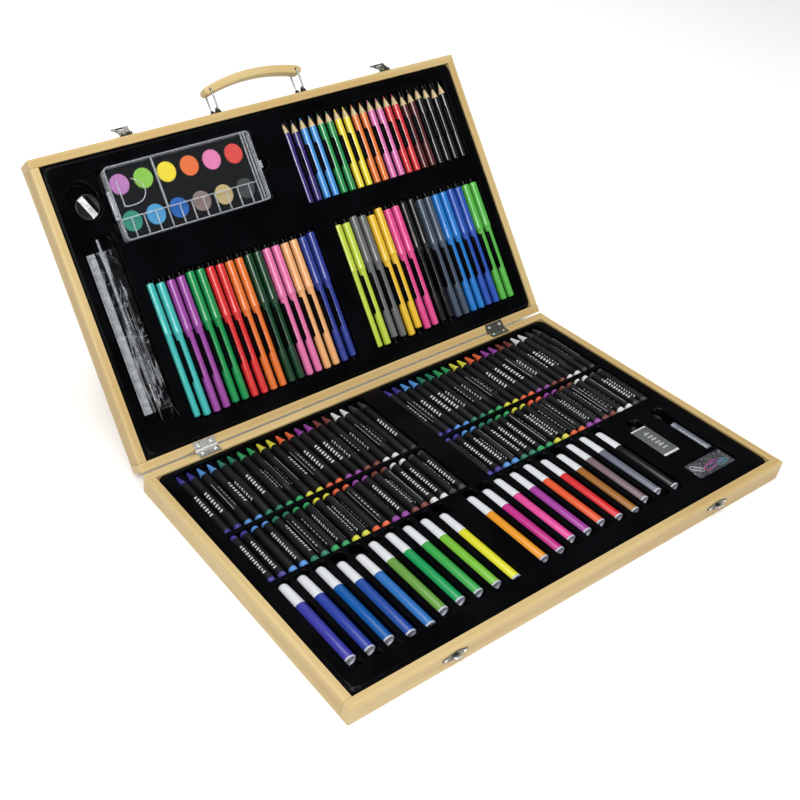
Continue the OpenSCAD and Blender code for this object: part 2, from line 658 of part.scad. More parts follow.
module palette_cover() {
    color("white", 0.3) at_pal() difference() {
        union() {
            translate([pal_w/2, pal_d/2, 10]) linear_extrude(1) rrect(pal_w, pal_d, 4);
            translate([pal_w/2, pal_d/2, pal_split + 0.2]) linear_extrude(3.2) difference() {
                rrect(pal_w, pal_d, 4);
                rrect(pal_w - 2.4, pal_d - 2.4, 2.8);
            }
            // raised dividers of the mixing surface
            translate([0, 0, 8.6]) linear_extrude(1.6) {
                translate([51.2, 21]) square([1.6, pal_d - 22]);
                translate([0.6, 20.4]) square([pal_w - 8, 1.2]);
                translate([155.4, 0.6]) square([1.2, pal_d - 1.2]);
                translate([158.6, 0.6]) square([1.2, pal_d - 1.2]);
                for (i = [0:10]) translate([11.3 + i*13.4 - 0.5, 0.6]) square([1, 20]);
                translate([8.6, 32]) square([1, 26]);
                translate([8.6, 31.5]) square([21.6, 1]);
                translate([30, 44]) intersection() {
                    difference() { circle(12.5); circle(11.5); }
                    translate([0, -13]) square([13, 24]);
                }
            }
            translate([pal_w - 0.5, pal_d/2 - 4, 8.6]) cube([4.2, 8, 1.2]);
            translate([hin, 26, pal_split]) bar_y(1.7, 20);
            translate([hin, 26, pal_split + 0.2]) cube([-hin + 0.5, 20, 1.5]);
        }
        translate([hin, 25, pal_split]) bar_y(1.05, 22);
    }
}

// ---------- ruler and brush ----------

module ruler() {
    color("lightgray", 0.6) on_lid() translate([ruler_p[0], ruler_p[1] + ruler_l, flange_l - 2.5]) rotate([90, 0, 0])
        linear_extrude(ruler_l)
            polygon([[-ruler_w/2, 0], [ruler_w/2, 0], [ruler_w/2, 0.8], [ruler_w/2 - 6, 2], [-ruler_w/2 + 8, 2], [-ruler_w/2, 0.8]]);
}
module brush_handle() {
    color("lightgray", 0.6) on_lid() translate([brush_x, 75, brush_z]) {
        cone_y(2.2, 1.9, 100);
        translate([0, 100 - eps, 0]) cone_y(1.9, 1.5, 44);
    }
}
module brush_ferrule() {
    color("silver") on_lid() translate([brush_x, 58, brush_z]) difference() {
        bar_y(2.3, 16.9);
        translate([0, -1, 0]) bar_y(1.9, 8);
    }
}
module brush_bristles() {
    color("saddlebrown") on_lid() translate([brush_x, 39, brush_z]) {
        cone_y(0.4, 1.8, 16);
        translate([0, 16 - eps, 0]) bar_y(1.8, 9);
    }
}

// ---------- crayons and pastels ----------

module each_stick() {
    for (g = [0, 1], i = [0:19]) color(crayon_c[floor(i/2)])
        translate([row_x[g] + i*stick_pitch, 0, crayon_z]) children();
}
module crayon_sticks() {
    each_stick() translate([0, crayon_y - crayon_l, 0]) {
        bar_y(crayon_r - 0.35, crayon_l - 10.5);
        translate([0, crayon_l - 10.5 - eps, 0]) cone_y(crayon_r - 0.35, 1.1, 10.5);
    }
}
module sleeve_y(r, t, l) { difference() { bar_y(r, l); translate([0, -1, 0]) bar_y(r - t, l + 2); } }
module crayon_wrappers() {
    color("black") for (g = [0, 1], i = [0:19])
        translate([row_x[g] + i*stick_pitch, crayon_y - crayon_l + 3.5, crayon_z]) sleeve_y(crayon_r, 0.3, 71.5);
}
module pastel_sticks() { each_stick() translate([0, pastel_y - pastel_l, 0]) bar_y(pastel_r - 0.35, pastel_l); }
module pastel_wrappers() {
    color("black") for (g = [0, 1], i = [0:19])
        translate([row_x[g] + i*stick_pitch, pastel_y - pastel_l + 3.5, crayon_z]) sleeve_y(pastel_r, 0.3, pastel_l - 8.5);
}

// ---------- thick markers ----------

marker_cap_l = 26.7;
marker_body_l = marker_l - marker_cap_l;
module each_marker() {
    for (g = [0, 1], i = [0:9]) color(marker_c[g][i])
        translate([marker_x[g] + i*marker_pitch, marker_y - marker_back[g][i], marker_z]) children();
}
module marker_barrels() {
    each_marker() difference() {
        union() {
            translate([0, 1.5, 0]) bar_y(marker_r - 0.1, marker_body_l - 1.5);
            translate([0, marker_body_l - eps, 0]) bar_y(4.2, 9);
            translate([0, marker_body_l + 8.9, 0]) cone_y(2, 0.8, 5);
        }
        translate([0, 1, 0]) bar_y(4.7, 6);
    }
}
// Hollow cap: straight rim, slight taper, domed end
module marker_caps() {
    color("white") for (g = [0, 1], i = [0:9])
        translate([marker_x[g] + i*marker_pitch, marker_y - marker_back[g][i] + marker_body_l + 0.05, marker_z])
            rotate([-90, 0, 0]) rotate_extrude()
                polygon([[4.8, 0], [marker_r, 0], [marker_r, 7], [5.5, marker_cap_l - 5.5], [5.2, marker_cap_l - 3.5],
                    [4.4, marker_cap_l - 1.8], [3.1, marker_cap_l - 0.7], [1.5, marker_cap_l - 0.2],
                    [0, marker_cap_l - 0.1], [0, 19], [4.8, 19]]);
}
// White end plug with its rim and its shallow hollow
module marker_plugs() {
    color("whitesmoke") for (g = [0, 1], i = [0:9])
        translate([marker_x[g] + i*marker_pitch, marker_y - marker_back[g][i], marker_z]) difference() {
            union() {
                bar_y(marker_r, 1.45);
                translate([0, 1.4, 0]) bar_y(4.65, 5);
            }
            translate([0, -1, 0]) bar_y(4.2, 3.2);
        }
}

// ---------- eraser, tube and clips ----------

module eraser_block() {
    color("white") translate([eraser_p[0] - 10.3, eraser_p[1] - 20.75, flange_b - 11.1]) cube([20.6, 41.5, 10.4]);
}
module eraser_sleeve() {
    color("gray") translate([eraser_p[0], eraser_p[1] + 18.6, flange_b - 5.9]) rotate([90, 0, 0]) linear_extrude(37.2) difference() {
        square([21.2, 11], center = true);
        square([20.7, 10.5], center = true);
    }
}
module clear_tube() {
    color("lightblue", 0.5) translate([tube_x, tube_y[1], flange_b - 5.9]) difference() {
        union() {
            translate([0, 1, 0]) bar_y(5.5, 41.8);
            cone_y(4.7, 5.5, 1.01);
        }
        translate([0, 1.6, 0]) bar_y(4.6, 50);
    }
}
module tube_plug() {
    color("lightgray") translate([tube_x, tube_y[0] - 4, flange_b - 5.9]) bar_y(4.55, 3.8);
}
module clip_bag() {
    color("white", 0.3) translate([pack_p[0], pack_p[1], flange_b - 6.4]) difference() {
        linear_extrude(6) rrect(53, 21, 2);
        translate([0, 0, 0.5]) linear_extrude(5) rrect(52, 20, 1.5);
    }
}
module clip(l, w, t) {
    linear_extrude(t) {
        difference() { stadium(l, w); stadium(l - 2*t, w - 2*t); }
        translate([-l*0.08, 0]) difference() { stadium(l*0.72, w - 2*t - 0.4); stadium(l*0.72 - 2*t, w - 4*t - 0.4); }
    }
}
module paper_clips() {
    translate([pack_p[0], pack_p[1], flange_b - 5.4]) {
        color("hotpink") translate([2.5, -1, 0]) rotate(12) clip(22, 6.4, 0.9);
        color("mediumpurple") translate([5, -2, 1.4]) rotate(4) clip(20, 5.6, 0.9);
        color("white") translate([-14, 2.5, 0]) rotate(-38) clip(14, 5.4, 0.9);
        color("mediumturquoise") translate([13, -5, 2.8]) rotate(8) clip(15, 5, 0.9);
    }
}

base_rail_front();
base_rail_back();
base_rail_left();
base_rail_right();
base_panel();
base_tray();
hinge_leaf_base_left();
hinge_leaf_base_right();
hinge_pins();
hinge_screws_base();
strike_left();
strike_right();
strike_screws();
lid_rail_front();
lid_rail_back();
lid_rail_left();
lid_rail_right();
lid_panel();
lid_tray();
hinge_leaf_lid_left();
hinge_leaf_lid_right();
hinge_screws_lid();
latch_plate_left();
latch_plate_right();
latch_screws();
handle_foot_left();
handle_foot_right();
handle_screws();
latch_lever_left();
latch_lever_right();
handle_wire_left();
handle_wire_right();
handle_grip();
felt_barrels();
felt_caps();
pencil_casings();
pencil_leads();
sharpener_body();
sharpener_blade();
sharpener_screw();
palette_tray();
paint_cakes();
palette_cover();
brush_handle();
brush_ferrule();
brush_bristles();
ruler();
crayon_sticks();
crayon_wrappers();
pastel_sticks();
pastel_wrappers();
marker_barrels();
marker_caps();
marker_plugs();
eraser_block();
eraser_sleeve();
clear_tube();
tube_plug();
clip_bag();
paper_clips();
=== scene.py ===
import math
import random

import bpy
import bmesh
import numpy as np
from mathutils import Matrix, Vector


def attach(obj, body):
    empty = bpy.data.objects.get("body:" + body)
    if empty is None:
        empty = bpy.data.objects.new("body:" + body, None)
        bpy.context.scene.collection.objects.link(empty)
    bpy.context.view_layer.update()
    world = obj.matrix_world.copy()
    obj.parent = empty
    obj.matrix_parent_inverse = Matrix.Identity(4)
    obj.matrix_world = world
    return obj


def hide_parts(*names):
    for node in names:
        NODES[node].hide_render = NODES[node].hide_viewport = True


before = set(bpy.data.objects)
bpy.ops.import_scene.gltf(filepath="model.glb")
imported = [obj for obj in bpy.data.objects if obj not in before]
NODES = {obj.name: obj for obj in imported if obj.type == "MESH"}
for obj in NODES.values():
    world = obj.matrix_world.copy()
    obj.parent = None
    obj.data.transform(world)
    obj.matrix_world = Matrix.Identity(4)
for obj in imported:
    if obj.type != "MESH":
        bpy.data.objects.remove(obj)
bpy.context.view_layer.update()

MM = 0.001
rnd = random.Random(7)

# ------------------------------------------------------------------ frames
LID_OPEN = 130.0
PIN_Y, PIN_Z, PIN_OFF = 153.1, 22.0, 0.6
LID_H, GAP, BASE_H = 22.0, 2.0, 21.0
LID = (Matrix.Translation((0, PIN_Y * MM, PIN_Z * MM))
       @ Matrix.Rotation(math.radians(180 - LID_OPEN), 4, "X")
       @ Matrix.Translation((0, PIN_OFF * MM, -(LID_H + GAP / 2) * MM)))
BASE = Matrix.Identity(4)
TOP_B, TOP_L = 20.2, 21.2          # flange heights of the two trays


def T(x, y, z):
    return Matrix.Translation((x * MM, y * MM, z * MM))


def RX(a):
    return Matrix.Rotation(math.radians(a), 4, "X")


def RZ(a):
    return Matrix.Rotation(math.radians(a), 4, "Z")


def lin(r, g, b):
    out = []
    for v in (r, g, b):
        v /= 255.0
        out.append((v / 12.92 if v <= 0.04045 else ((v + 0.055) / 1.055) ** 2.4) * 0.66)
    return tuple(out)


# ------------------------------------------------------------------ shader helper
class Sock:
    """A shader value that can be combined with + - * / and the calls below."""

    def __init__(self, mat, sock):
        self.m, self.s = mat, sock

    def _do(self, op, *others, swap=False):
        n = self.m.node("ShaderNodeMath")
        n.operation = op
        args = [self] + list(others)
        if swap:
            args.reverse()
        for i, a in enumerate(args):
            self.m.put(n.inputs[i], a)
        return Sock(self.m, n.outputs[0])

    def __add__(self, o): return self._do("ADD", o)
    def __radd__(self, o): return self._do("ADD", o)
    def __sub__(self, o): return self._do("SUBTRACT", o)
    def __rsub__(self, o): return self._do("SUBTRACT", o, swap=True)
    def __mul__(self, o): return self._do("MULTIPLY", o)
    def __rmul__(self, o): return self._do("MULTIPLY", o)
    def __truediv__(self, o): return self._do("DIVIDE", o)
    def frac(self): return self._do("FRACT")
    def floor(self): return self._do("FLOOR")
    def abs(self): return self._do("ABSOLUTE")
    def sin(self): return self._do("SINE")
    def pow(self, o): return self._do("POWER", o)
    def lt(self, o): return self._do("LESS_THAN", o)
    def gt(self, o): return self._do("GREATER_THAN", o)
    def min(self, o): return self._do("MINIMUM", o)
    def max(self, o): return self._do("MAXIMUM", o)
    def wrap(self, hi, lo): return self._do("WRAP", hi, lo)

    def ramp(self, a, b, lo=0.0, hi=1.0, smooth=True):
        n = self.m.node("ShaderNodeMapRange")
        n.interpolation_type = "SMOOTHSTEP" if smooth else "LINEAR"
        self.m.put(n.inputs["Value"], self)
        for k, v in (("From Min", a), ("From Max", b), ("To Min", lo), ("To Max", hi)):
            self.m.put(n.inputs[k], v)
        return Sock(self.m, n.outputs["Result"])


class Mat:
    def __init__(self, name, rough=0.5, base=(0.8, 0.8, 0.8), **fixed):
        self.mat = bpy.data.materials.new(name)
        self.mat.use_nodes = True
        self.nt = self.mat.node_tree
        self.nt.nodes.clear()
        self.out = self.nt.nodes.new("ShaderNodeOutputMaterial")
        self.b = self.nt.nodes.new("ShaderNodeBsdfPrincipled")
        self.nt.links.new(self.b.outputs[0], self.out.inputs[0])
        self.b.inputs["Roughness"].default_value = rough
        self.b.inputs["Base Color"].default_value = (*base, 1)
        for k, v in fixed.items():
            self.b.inputs[k.replace("_", " ")].default_value = v
        self._c = {}

    def node(self, kind, **kw):
        n = self.nt.nodes.new(kind)
        for k, v in kw.items():
            setattr(n, k, v)
        return n

    def put(self, inp, v):
        if isinstance(v, Sock):
            self.nt.links.new(v.s, inp)
        elif isinstance(v, (tuple, list)) and inp.type == "RGBA" and len(v) == 3:
            inp.default_value = (*v, 1)
        else:
            inp.default_value = v

    def set(self, name, v):
        self.put(self.b.inputs[name], v)
        return self

    def coord(self, kind="Object"):
        if kind not in self._c:
            self._c[kind] = Sock(self, self.node("ShaderNodeTexCoord").outputs[kind])
        return self._c[kind]

    def attr(self, name, out="Vector"):
        key = name + out
        if key not in self._c:
            n = self.node("ShaderNodeAttribute", attribute_name=name)
            self._c[key] = Sock(self, n.outputs[out])
        return self._c[key]

    def xyz(self, vec):
        n = self.node("ShaderNodeSeparateXYZ")
        self.put(n.inputs[0], vec)
        return [Sock(self, n.outputs[i]) for i in range(3)]

    def vec(self, x, y, z):
        n = self.node("ShaderNodeCombineXYZ")
        for i, v in enumerate((x, y, z)):
            self.put(n.inputs[i], v)
        return Sock(self, n.outputs[0])

    def noise(self, vec, scale=1.0, detail=2.0, rough=0.5, dist=0.0, out="Fac"):
        n = self.node("ShaderNodeTexNoise")
        self.put(n.inputs["Vector"], vec)
        for k, v in (("Scale", scale), ("Detail", detail), ("Roughness", rough), ("Distortion", dist)):
            self.put(n.inputs[k], v)
        return Sock(self, n.outputs[out])

    def voronoi(self, vec, scale=1.0, out="Distance", feature="F1"):
        n = self.node("ShaderNodeTexVoronoi", feature=feature)
        self.put(n.inputs["Vector"], vec)
        self.put(n.inputs["Scale"], scale)
        return Sock(self, n.outputs[out])

    def map(self, vec, scale=(1, 1, 1), rot=(0, 0, 0), loc=(0, 0, 0)):
        n = self.node("ShaderNodeMapping")
        self.put(n.inputs["Vector"], vec)
        n.inputs["Scale"].default_value = scale
        n.inputs["Rotation"].default_value = rot
        n.inputs["Location"].default_value = loc
        return Sock(self, n.outputs[0])

    def mix(self, f, a, b, blend="MIX"):
        n = self.node("ShaderNodeMix", data_type="RGBA", blend_type=blend)
        self.put(n.inputs[0], f)
        self.put(n.inputs[6], a)
        self.put(n.inputs[7], b)
        return Sock(self, n.outputs[2])

    def bump(self, height, strength=0.3, dist=0.0002):
        n = self.node("ShaderNodeBump")
        n.inputs["Strength"].default_value = strength
        n.inputs["Distance"].default_value = dist
        self.put(n.inputs["Height"], height)
        self.put(self.b.inputs["Normal"], Sock(self, n.outputs[0]))
        return self


# ------------------------------------------------------------------ materials
def wood(name, light, dark, across=160.0, along=3.0, rough=0.46, axis=0, rot=None, contrast=1.0):
    """Pale lacquered wood whose grain runs along one axis of the object's own coordinates."""
    m = Mat(name, rough)
    co = m.coord()
    if rot:
        co = m.map(co, rot=rot)
    info = Sock(m, m.node("ShaderNodeObjectInfo").outputs["Random"])
    x, y, z = m.xyz(co)
    a = (x, y, z)
    g, p, q = a[axis], a[(axis + 1) % 3], a[(axis + 2) % 3]
    shift = info * 3.7
    v1 = m.vec(g * along + shift, p * across * 0.30, q * across * 0.30)
    v2 = m.vec(g * along * 5.0 + shift, p * across * 3.0, q * across * 3.0)
    v3 = m.vec(g * 1.2 + shift, p * 12.0, q * 12.0)
    broad = m.noise(v1, 1.0, 3.0, 0.55, 0.6)
    fine = m.noise(v2, 1.0, 4.0, 0.6)
    tone = m.noise(v3, 1.0, 1.0)
    fac = broad.ramp(0.35, 0.68) * (0.55 * contrast) + fine.ramp(0.35, 0.75) * (0.30 * contrast) + tone.ramp(0.3, 0.7) * 0.25
    col = m.mix(fac, light, dark)
    # a few narrow darker streaks and a warm blush here and there
    streak = m.noise(m.vec(g * 2.0 + shift, p * 90.0, q * 90.0), 1.0, 2.0, 0.5).ramp(0.66, 0.74) * (0.30 * contrast)
    col = m.mix(streak, col, tuple(c * 0.62 for c in dark))
    blush = m.noise(m.vec(g * 7.0 + shift + 4.0, p * 16.0, q * 16.0), 1.0, 2.0).ramp(0.5, 0.75) * 0.45
    col = m.mix(blush, col, (dark[0] * 1.06, dark[1] * 0.93, dark[2] * 0.86))
    # painted highlight: the rounded edges and the ends of the rails, marked by the edge layer, are lightened
    edge = m.attr("edge", "Fac")
    col = m.mix(edge * 0.30, col, tuple(min(1.0, c * 1.12) for c in light))
    m.set("Base Color", col)
    m.set("Roughness", fine.ramp(0.2, 0.8, rough - 0.05, rough + 0.1))
    m.bump(fine * 0.6 + broad * 0.5, 0.22, 0.00012)
    return m.mat


def tinted(name, rough=0.3, vary=0.05, bump=0.06, coat=0.0, dust=0.0, spec=0.5, grain=500.0, rvary=0.08):
    """Coloured plastic, wax or lacquer. The colour comes from the piece's own tint layer."""
    m = Mat(name, rough)
    m.b.inputs["Coat Weight"].default_value = coat
    m.b.inputs["Coat Roughness"].default_value = 0.07
    m.b.inputs["Specular IOR Level"].default_value = spec
    tint = m.attr("tint", "Color")
    co = m.coord()
    n1 = m.noise(co, 60.0, 3.0)
    n2 = m.noise(co, grain, 3.0, 0.6)
    col = m.mix(n1.ramp(0.3, 0.7) * vary, tint, m.mix(1.0, tint, (0.55, 0.55, 0.58), "MULTIPLY"))
    if dust:
        col = m.mix(n2.ramp(0.55, 0.75) * dust, col, m.mix(0.5, tint, (0.9, 0.9, 0.9)))
    m.set("Base Color", col)
    m.set("Roughness", n1.ramp(0.25, 0.75, rough - rvary * 0.5, rough + rvary))
    m.bump(n2, bump, 0.0002)
    return m.mat


def print_wrapper(name, text0, text1, cell, tall, second):
    """Black paper sleeve with a row of plain white dashes where a print would be."""
    m = Mat(name, 0.48)
    m.b.inputs["Specular IOR Level"].default_value = 0.18
    ang, y, seed = m.xyz(m.attr("loc"))
    co = m.coord()
    fibre = m.noise(m.map(co, scale=(900, 250, 900)), 1.0, 3.0, 0.6)
    cloud = m.noise(co, 45.0, 2.0)
    base = m.mix(cloud.ramp(0.3, 0.7), lin(13, 13, 15), lin(28, 28, 31))
    arc = ang.wrap(math.pi, -math.pi) * 4.05                 # mm round the sleeve from the print's middle
    k = ((y - text0) / cell)
    inside = y.gt(text0) * y.lt(text1)
    f = k.frac()
    odd = (k.floor() / 2.0).frac().gt(0.25)
    a = arc.abs()
    # plain upright bars with gaps, every second one a little shorter
    bar = f.gt(0.14) * f.lt(0.62) * (a + odd * 0.45).lt(tall)
    ink = inside * bar
    # thin dashed rule on the far side of the sleeve
    far = (ang + second).wrap(math.pi, -math.pi) * 4.05
    kk = (y / 2.1).frac()
    rule = y.gt(text0 - 3.0) * y.lt(text1 + 6.0) * far.abs().lt(0.22) * kk.gt(0.25)
    far2 = (ang + second * 1.45).wrap(math.pi, -math.pi) * 4.05
    kk2 = ((y + seed * 1.3) / 4.3).frac()
    rule2 = y.gt(text0) * y.lt(text1) * far2.abs().lt(0.35) * kk2.gt(0.45)
    wear_and_edge_highlight = m.noise(co, 700.0, 2.0).ramp(0.28, 0.40)
    ink = (ink + rule + rule2 * 0.9).min(1.0) * wear_and_edge_highlight
    col = m.mix(ink * 0.94, base, lin(226, 228, 228))
    lip = (y - 3.5).abs().lt(0.25)
    col = m.mix(lip * 0.25, col, lin(90, 90, 92))
    m.set("Base Color", col)
    m.set("Roughness", fibre.ramp(0.2, 0.8, 0.42, 0.56))
    m.bump(fibre + ink * 0.4, 0.12, 0.0001)
    return m.mat


def metal(name, base, rough=0.28, dark=0.35, scale=90.0, aniso=0.0):
    m = Mat(name, rough, base, Metallic=1.0)
    co = m.coord()
    blot = m.noise(co, scale, 4.0, 0.6, 0.4)
    scr = m.noise(m.map(co, scale=(2200, 160, 160), rot=(0.3, 0.5, 0.9)), 1.0, 2.0)
    col = m.mix(blot.ramp(0.42, 0.72) * dark, base, tuple(c * 0.42 for c in base))
    col = m.mix(scr.ramp(0.62, 0.78) * 0.25, col, tuple(min(1, c * 1.25) for c in base))
    m.set("Base Color", col)
    m.set("Roughness", blot.ramp(0.3, 0.7, rough - 0.07, rough + 0.16))
    m.bump(scr * 0.5 + blot, 0.10, 0.00015)
    return m.mat


def tray_black():
    m = Mat("tray_black", 0.30)
    m.b.inputs["Specular IOR Level"].default_value = 0.09
    co = m.coord()
    slow = m.noise(co, 22.0, 2.0)
    fine = m.noise(co, 900.0, 2.0)
    col = m.mix(slow.ramp(0.3, 0.7), lin(3, 3, 5), lin(7, 8, 11))
    lint = m.voronoi(co, 170.0).lt(0.055) * m.noise(co, 31.0, 1.0).ramp(0.52, 0.6)
    col = m.mix(lint * 0.10, col, lin(110, 112, 118))
    # painted highlight: convex rims and edges of the moulding, found by pointiness, are lightened to near white in
    # broken dashes
    pt = Sock(m, m.node("ShaderNodeNewGeometry").outputs["Pointiness"])
    wear_and_edge_highlight = pt.ramp(0.56, 0.66) * m.noise(co, 240.0, 2.0).ramp(0.50, 0.62)
    col = m.mix(wear_and_edge_highlight * 0.55, col, lin(205, 208, 214))
    m.set("Base Color", col)
    m.set("Roughness", slow.ramp(0.25, 0.75, 0.13, 0.22) + fine * 0.04)
    m.bump(slow * 3.0 + fine * 0.15, 0.25, 0.00035)
    return m.mat


def clear(name, tint, face=0.10, edge=0.55, rough=0.08, cloud=0.0, streak=0.0):
    """Thin clear plastic: see-through when seen square on, glossier and whiter towards its edges."""
    m = Mat(name, rough, tint)
    m.b.inputs["Specular IOR Level"].default_value = 0.8
    m.b.inputs["Coat Weight"].default_value = 0.8
    m.b.inputs["Coat Roughness"].default_value = 0.04
    lw = m.node("ShaderNodeLayerWeight")
    lw.inputs["Blend"].default_value = 0.35
    fac = Sock(m, lw.outputs["Facing"])
    co = m.coord()
    n = m.noise(co, 120.0, 3.0, 0.6, 0.5)
    al = fac.ramp(0.45, 1.0, face, edge)
    if cloud:
        al = al + n.ramp(0.45, 0.75) * cloud
    if streak:
        s = m.noise(co, 210.0, 2.0, 0.5, 1.6)
        al = al + ((s - 0.5).abs().ramp(0.010, 0.030, 1.0, 0.0) + (s - 0.62).abs().ramp(0.008, 0.022, 0.8, 0.0)) * streak
    m.set("Alpha", al.min(1.0))
    m.set("Base Color", m.mix(n.ramp(0.3, 0.7) * 0.5, tint, tuple(min(1.0, c * 1.2) for c in tint)))
    m.set("Roughness", n.ramp(0.3, 0.7, rough, rough + 0.08))
    m.bump(n, 0.12, 0.0003)
    return m.mat


def white_plastic(name, base, rough=0.38):
    m = Mat(name, rough, base)
    m.b.inputs["Coat Weight"].default_value = 0.15
    co = m.coord()
    n = m.noise(co, 90.0, 3.0)
    f = m.noise(co, 1400.0, 2.0)
    m.set("Base Color", m.mix(n.ramp(0.35, 0.7) * 0.35, base, tuple(c * 0.84 for c in base)))
    m.set("Roughness", n.ramp(0.3, 0.7, rough - 0.06, rough + 0.08))
    m.bump(f, 0.06, 0.0001)
    return m.mat


def paint_cake():
    m = Mat("paint_cake", 0.82)
    m.b.inputs["Specular IOR Level"].default_value = 0.25
    tint = m.attr("tint", "Color")
    co = m.coord()
    n = m.noise(co, 260.0, 4.0, 0.65)
    s = m.noise(co, 1500.0, 2.0)
    col = m.mix(n.ramp(0.35, 0.7) * 0.35, tint, m.mix(1.0, tint, (0.72, 0.72, 0.75), "MULTIPLY"))
    col = m.mix(s.ramp(0.58, 0.72) * 0.16, col, (0.95, 0.95, 0.95))
    m.set("Base Color", col)
    m.bump(n * 0.6 + s * 0.5, 0.25, 0.0003)
    return m.mat


def pencil_wood():
    m = Mat("pencil_wood", 0.6)
    ang, y, seed = m.xyz(m.attr("loc"))
    g = m.noise(m.vec(ang * 3.0, y * 0.35, seed * 5.0), 1.0, 3.0, 0.6)
    f = m.noise(m.vec(ang * 14.0, y * 0.9, seed * 9.0), 1.0, 3.0, 0.6)
    col = m.mix(g.ramp(0.3, 0.7), lin(226, 205, 160), lin(203, 176, 124))
    col = m.mix(f.ramp(0.5, 0.75) * 0.35, col, lin(170, 138, 90))
    m.set("Base Color", col)
    m.bump(f, 0.3, 0.0002)
    return m.mat


def ruler_mat():
    """Clear acrylic with a frosted bevel along its left edge and a millimetre scale on it."""
    m = Mat("ruler_clear", 0.16, lin(205, 210, 214))
    m.b.inputs["Specular IOR Level"].default_value = 0.45
    m.b.inputs["Coat Weight"].default_value = 0.1
    co = m.coord()
    x, y, z = m.xyz(co)
    u = x * 1000.0 + 236.6           # mm from the left edge
    v = y * 1000.0 - 52.5            # mm along the scale
    on = v.gt(0.0) * v.lt(150.2)
    mm1 = ((v + 0.5).frac() - 0.5).abs().lt(0.15)
    mm5 = ((v / 5.0 + 0.5).frac() - 0.5).abs().lt(0.03)
    mm10 = ((v / 10.0 + 0.5).frac() - 0.5).abs().lt(0.017)
    tick = on * (mm1 * u.lt(2.6) + mm5 * u.lt(3.6) + mm10 * u.lt(4.6)).min(1.0) * u.gt(0.25)
    band = u.lt(8.0)
    # thin whitish lines run along the clear part's length
    n = m.noise(co, 150.0, 4.0, 0.6, 0.3)
    long1 = m.noise(m.map(co, scale=(120, 7, 120)), 1.0, 1.0, 0.5, 0.5)
    long2 = m.noise(m.map(co, scale=(150, 26, 150), loc=(3.1, 0.7, 2.0)), 1.0, 1.0, 0.5, 0.6)
    short = m.noise(m.map(co, scale=(60, 130, 60), loc=(1.3, 2.7, 0.0)), 1.0, 1.0, 0.5, 0.6)
    gate = m.noise(co, 60.0, 2.0).ramp(0.48, 0.56)
    lines = (long1 - 0.48).abs().ramp(0.008, 0.024, 0.8, 0.0) + (long2 - 0.44).abs().ramp(0.008, 0.022, 0.6, 0.0) * gate
    lines = lines + (short - 0.5).abs().ramp(0.008, 0.020, 0.35, 0.0) * gate
    frost = n.ramp(0.3, 0.7, 0.40, 0.52)
    clearp = n.ramp(0.45, 0.75, 0.004, 0.02) + lines.min(1.0) * 0.45
    al = band * frost + (1.0 - band) * clearp
    al = al.max(tick * 0.9)
    m.set("Alpha", al.min(1.0))
    col = m.mix(n.ramp(0.3, 0.7), lin(186, 192, 198), lin(214, 218, 222))
    col = m.mix(tick * 0.92, col, lin(34, 37, 42))
    m.set("Base Color", col)
    m.set("Roughness", band * 0.30 + 0.10)
    m.bump(n + long1 * 0.6, 0.07, 0.0002)
    return m.mat


def card_sleeve():
    """Grey card sleeve with a plain white bar pattern."""
    m = Mat("card_sleeve", 0.55)
    co = m.coord()
    x, y, z = m.xyz(co)
    u = x * 1000.0 - 185.0
    v = y * 1000.0 + 66.0
    n = m.noise(co, 800.0, 3.0)
    k = ((v + 13.0) / 4.4)
    f = k.frac()
    on = v.gt(-13.0) * v.lt(13.4) * (u - 0.5).abs().lt(3.4)
    odd = (k.floor() / 2.0).frac().gt(0.25)
    bars = f.gt(0.16) * f.lt(0.50) + odd * f.gt(0.66) * f.lt(0.84) * (u - 0.5).abs().lt(1.5)
    ink = (on * bars).min(1.0) * m.noise(co, 1200.0, 2.0).ramp(0.3, 0.42)
    col = m.mix(n.ramp(0.3, 0.7), lin(82, 86, 84), lin(104, 108, 106))
    col = m.mix(ink * 0.85, col, lin(214, 216, 214))
    m.set("Base Color", col)
    m.set("Roughness", n.ramp(0.3, 0.7, 0.46, 0.6))
    m.bump(n, 0.15, 0.0001)
    return m.mat


def rubber(name, base):
    m = Mat(name, 0.7, base)
    co = m.coord()
    n = m.noise(co, 300.0, 4.0, 0.6)
    smear = m.noise(m.map(co, scale=(60, 200, 60)), 1.0, 3.0)
    col = m.mix(n.ramp(0.4, 0.7) * 0.25, base, tuple(c * 0.8 for c in base))
    m.set("Base Color", m.mix(smear.ramp(0.6, 0.8) * 0.25, col, (0.5, 0.5, 0.52)))
    m.bump(n, 0.2, 0.0002)
    return m.mat


def bristle_mat():
    m = Mat("bristle_hair", 0.55)
    co = m.coord()
    n = m.noise(m.map(co, scale=(2600, 120, 2600)), 1.0, 2.0)
    m.set("Base Color", m.mix(n.ramp(0.3, 0.7), lin(34, 24, 16), lin(78, 58, 40)))
    m.bump(n, 0.8, 0.0004)
    return m.mat


def floor_mat():
    m = Mat("floor_pale", 0.75, (0.97, 0.97, 0.97))
    m.b.inputs["Specular IOR Level"].default_value = 0.1
    n = m.noise(m.coord(), 3.0, 2.0)
    m.set("Base Color", m.mix(n.ramp(0.3, 0.7) * 0.2, (0.98, 0.98, 0.98), (0.96, 0.96, 0.965)))
    return m.mat


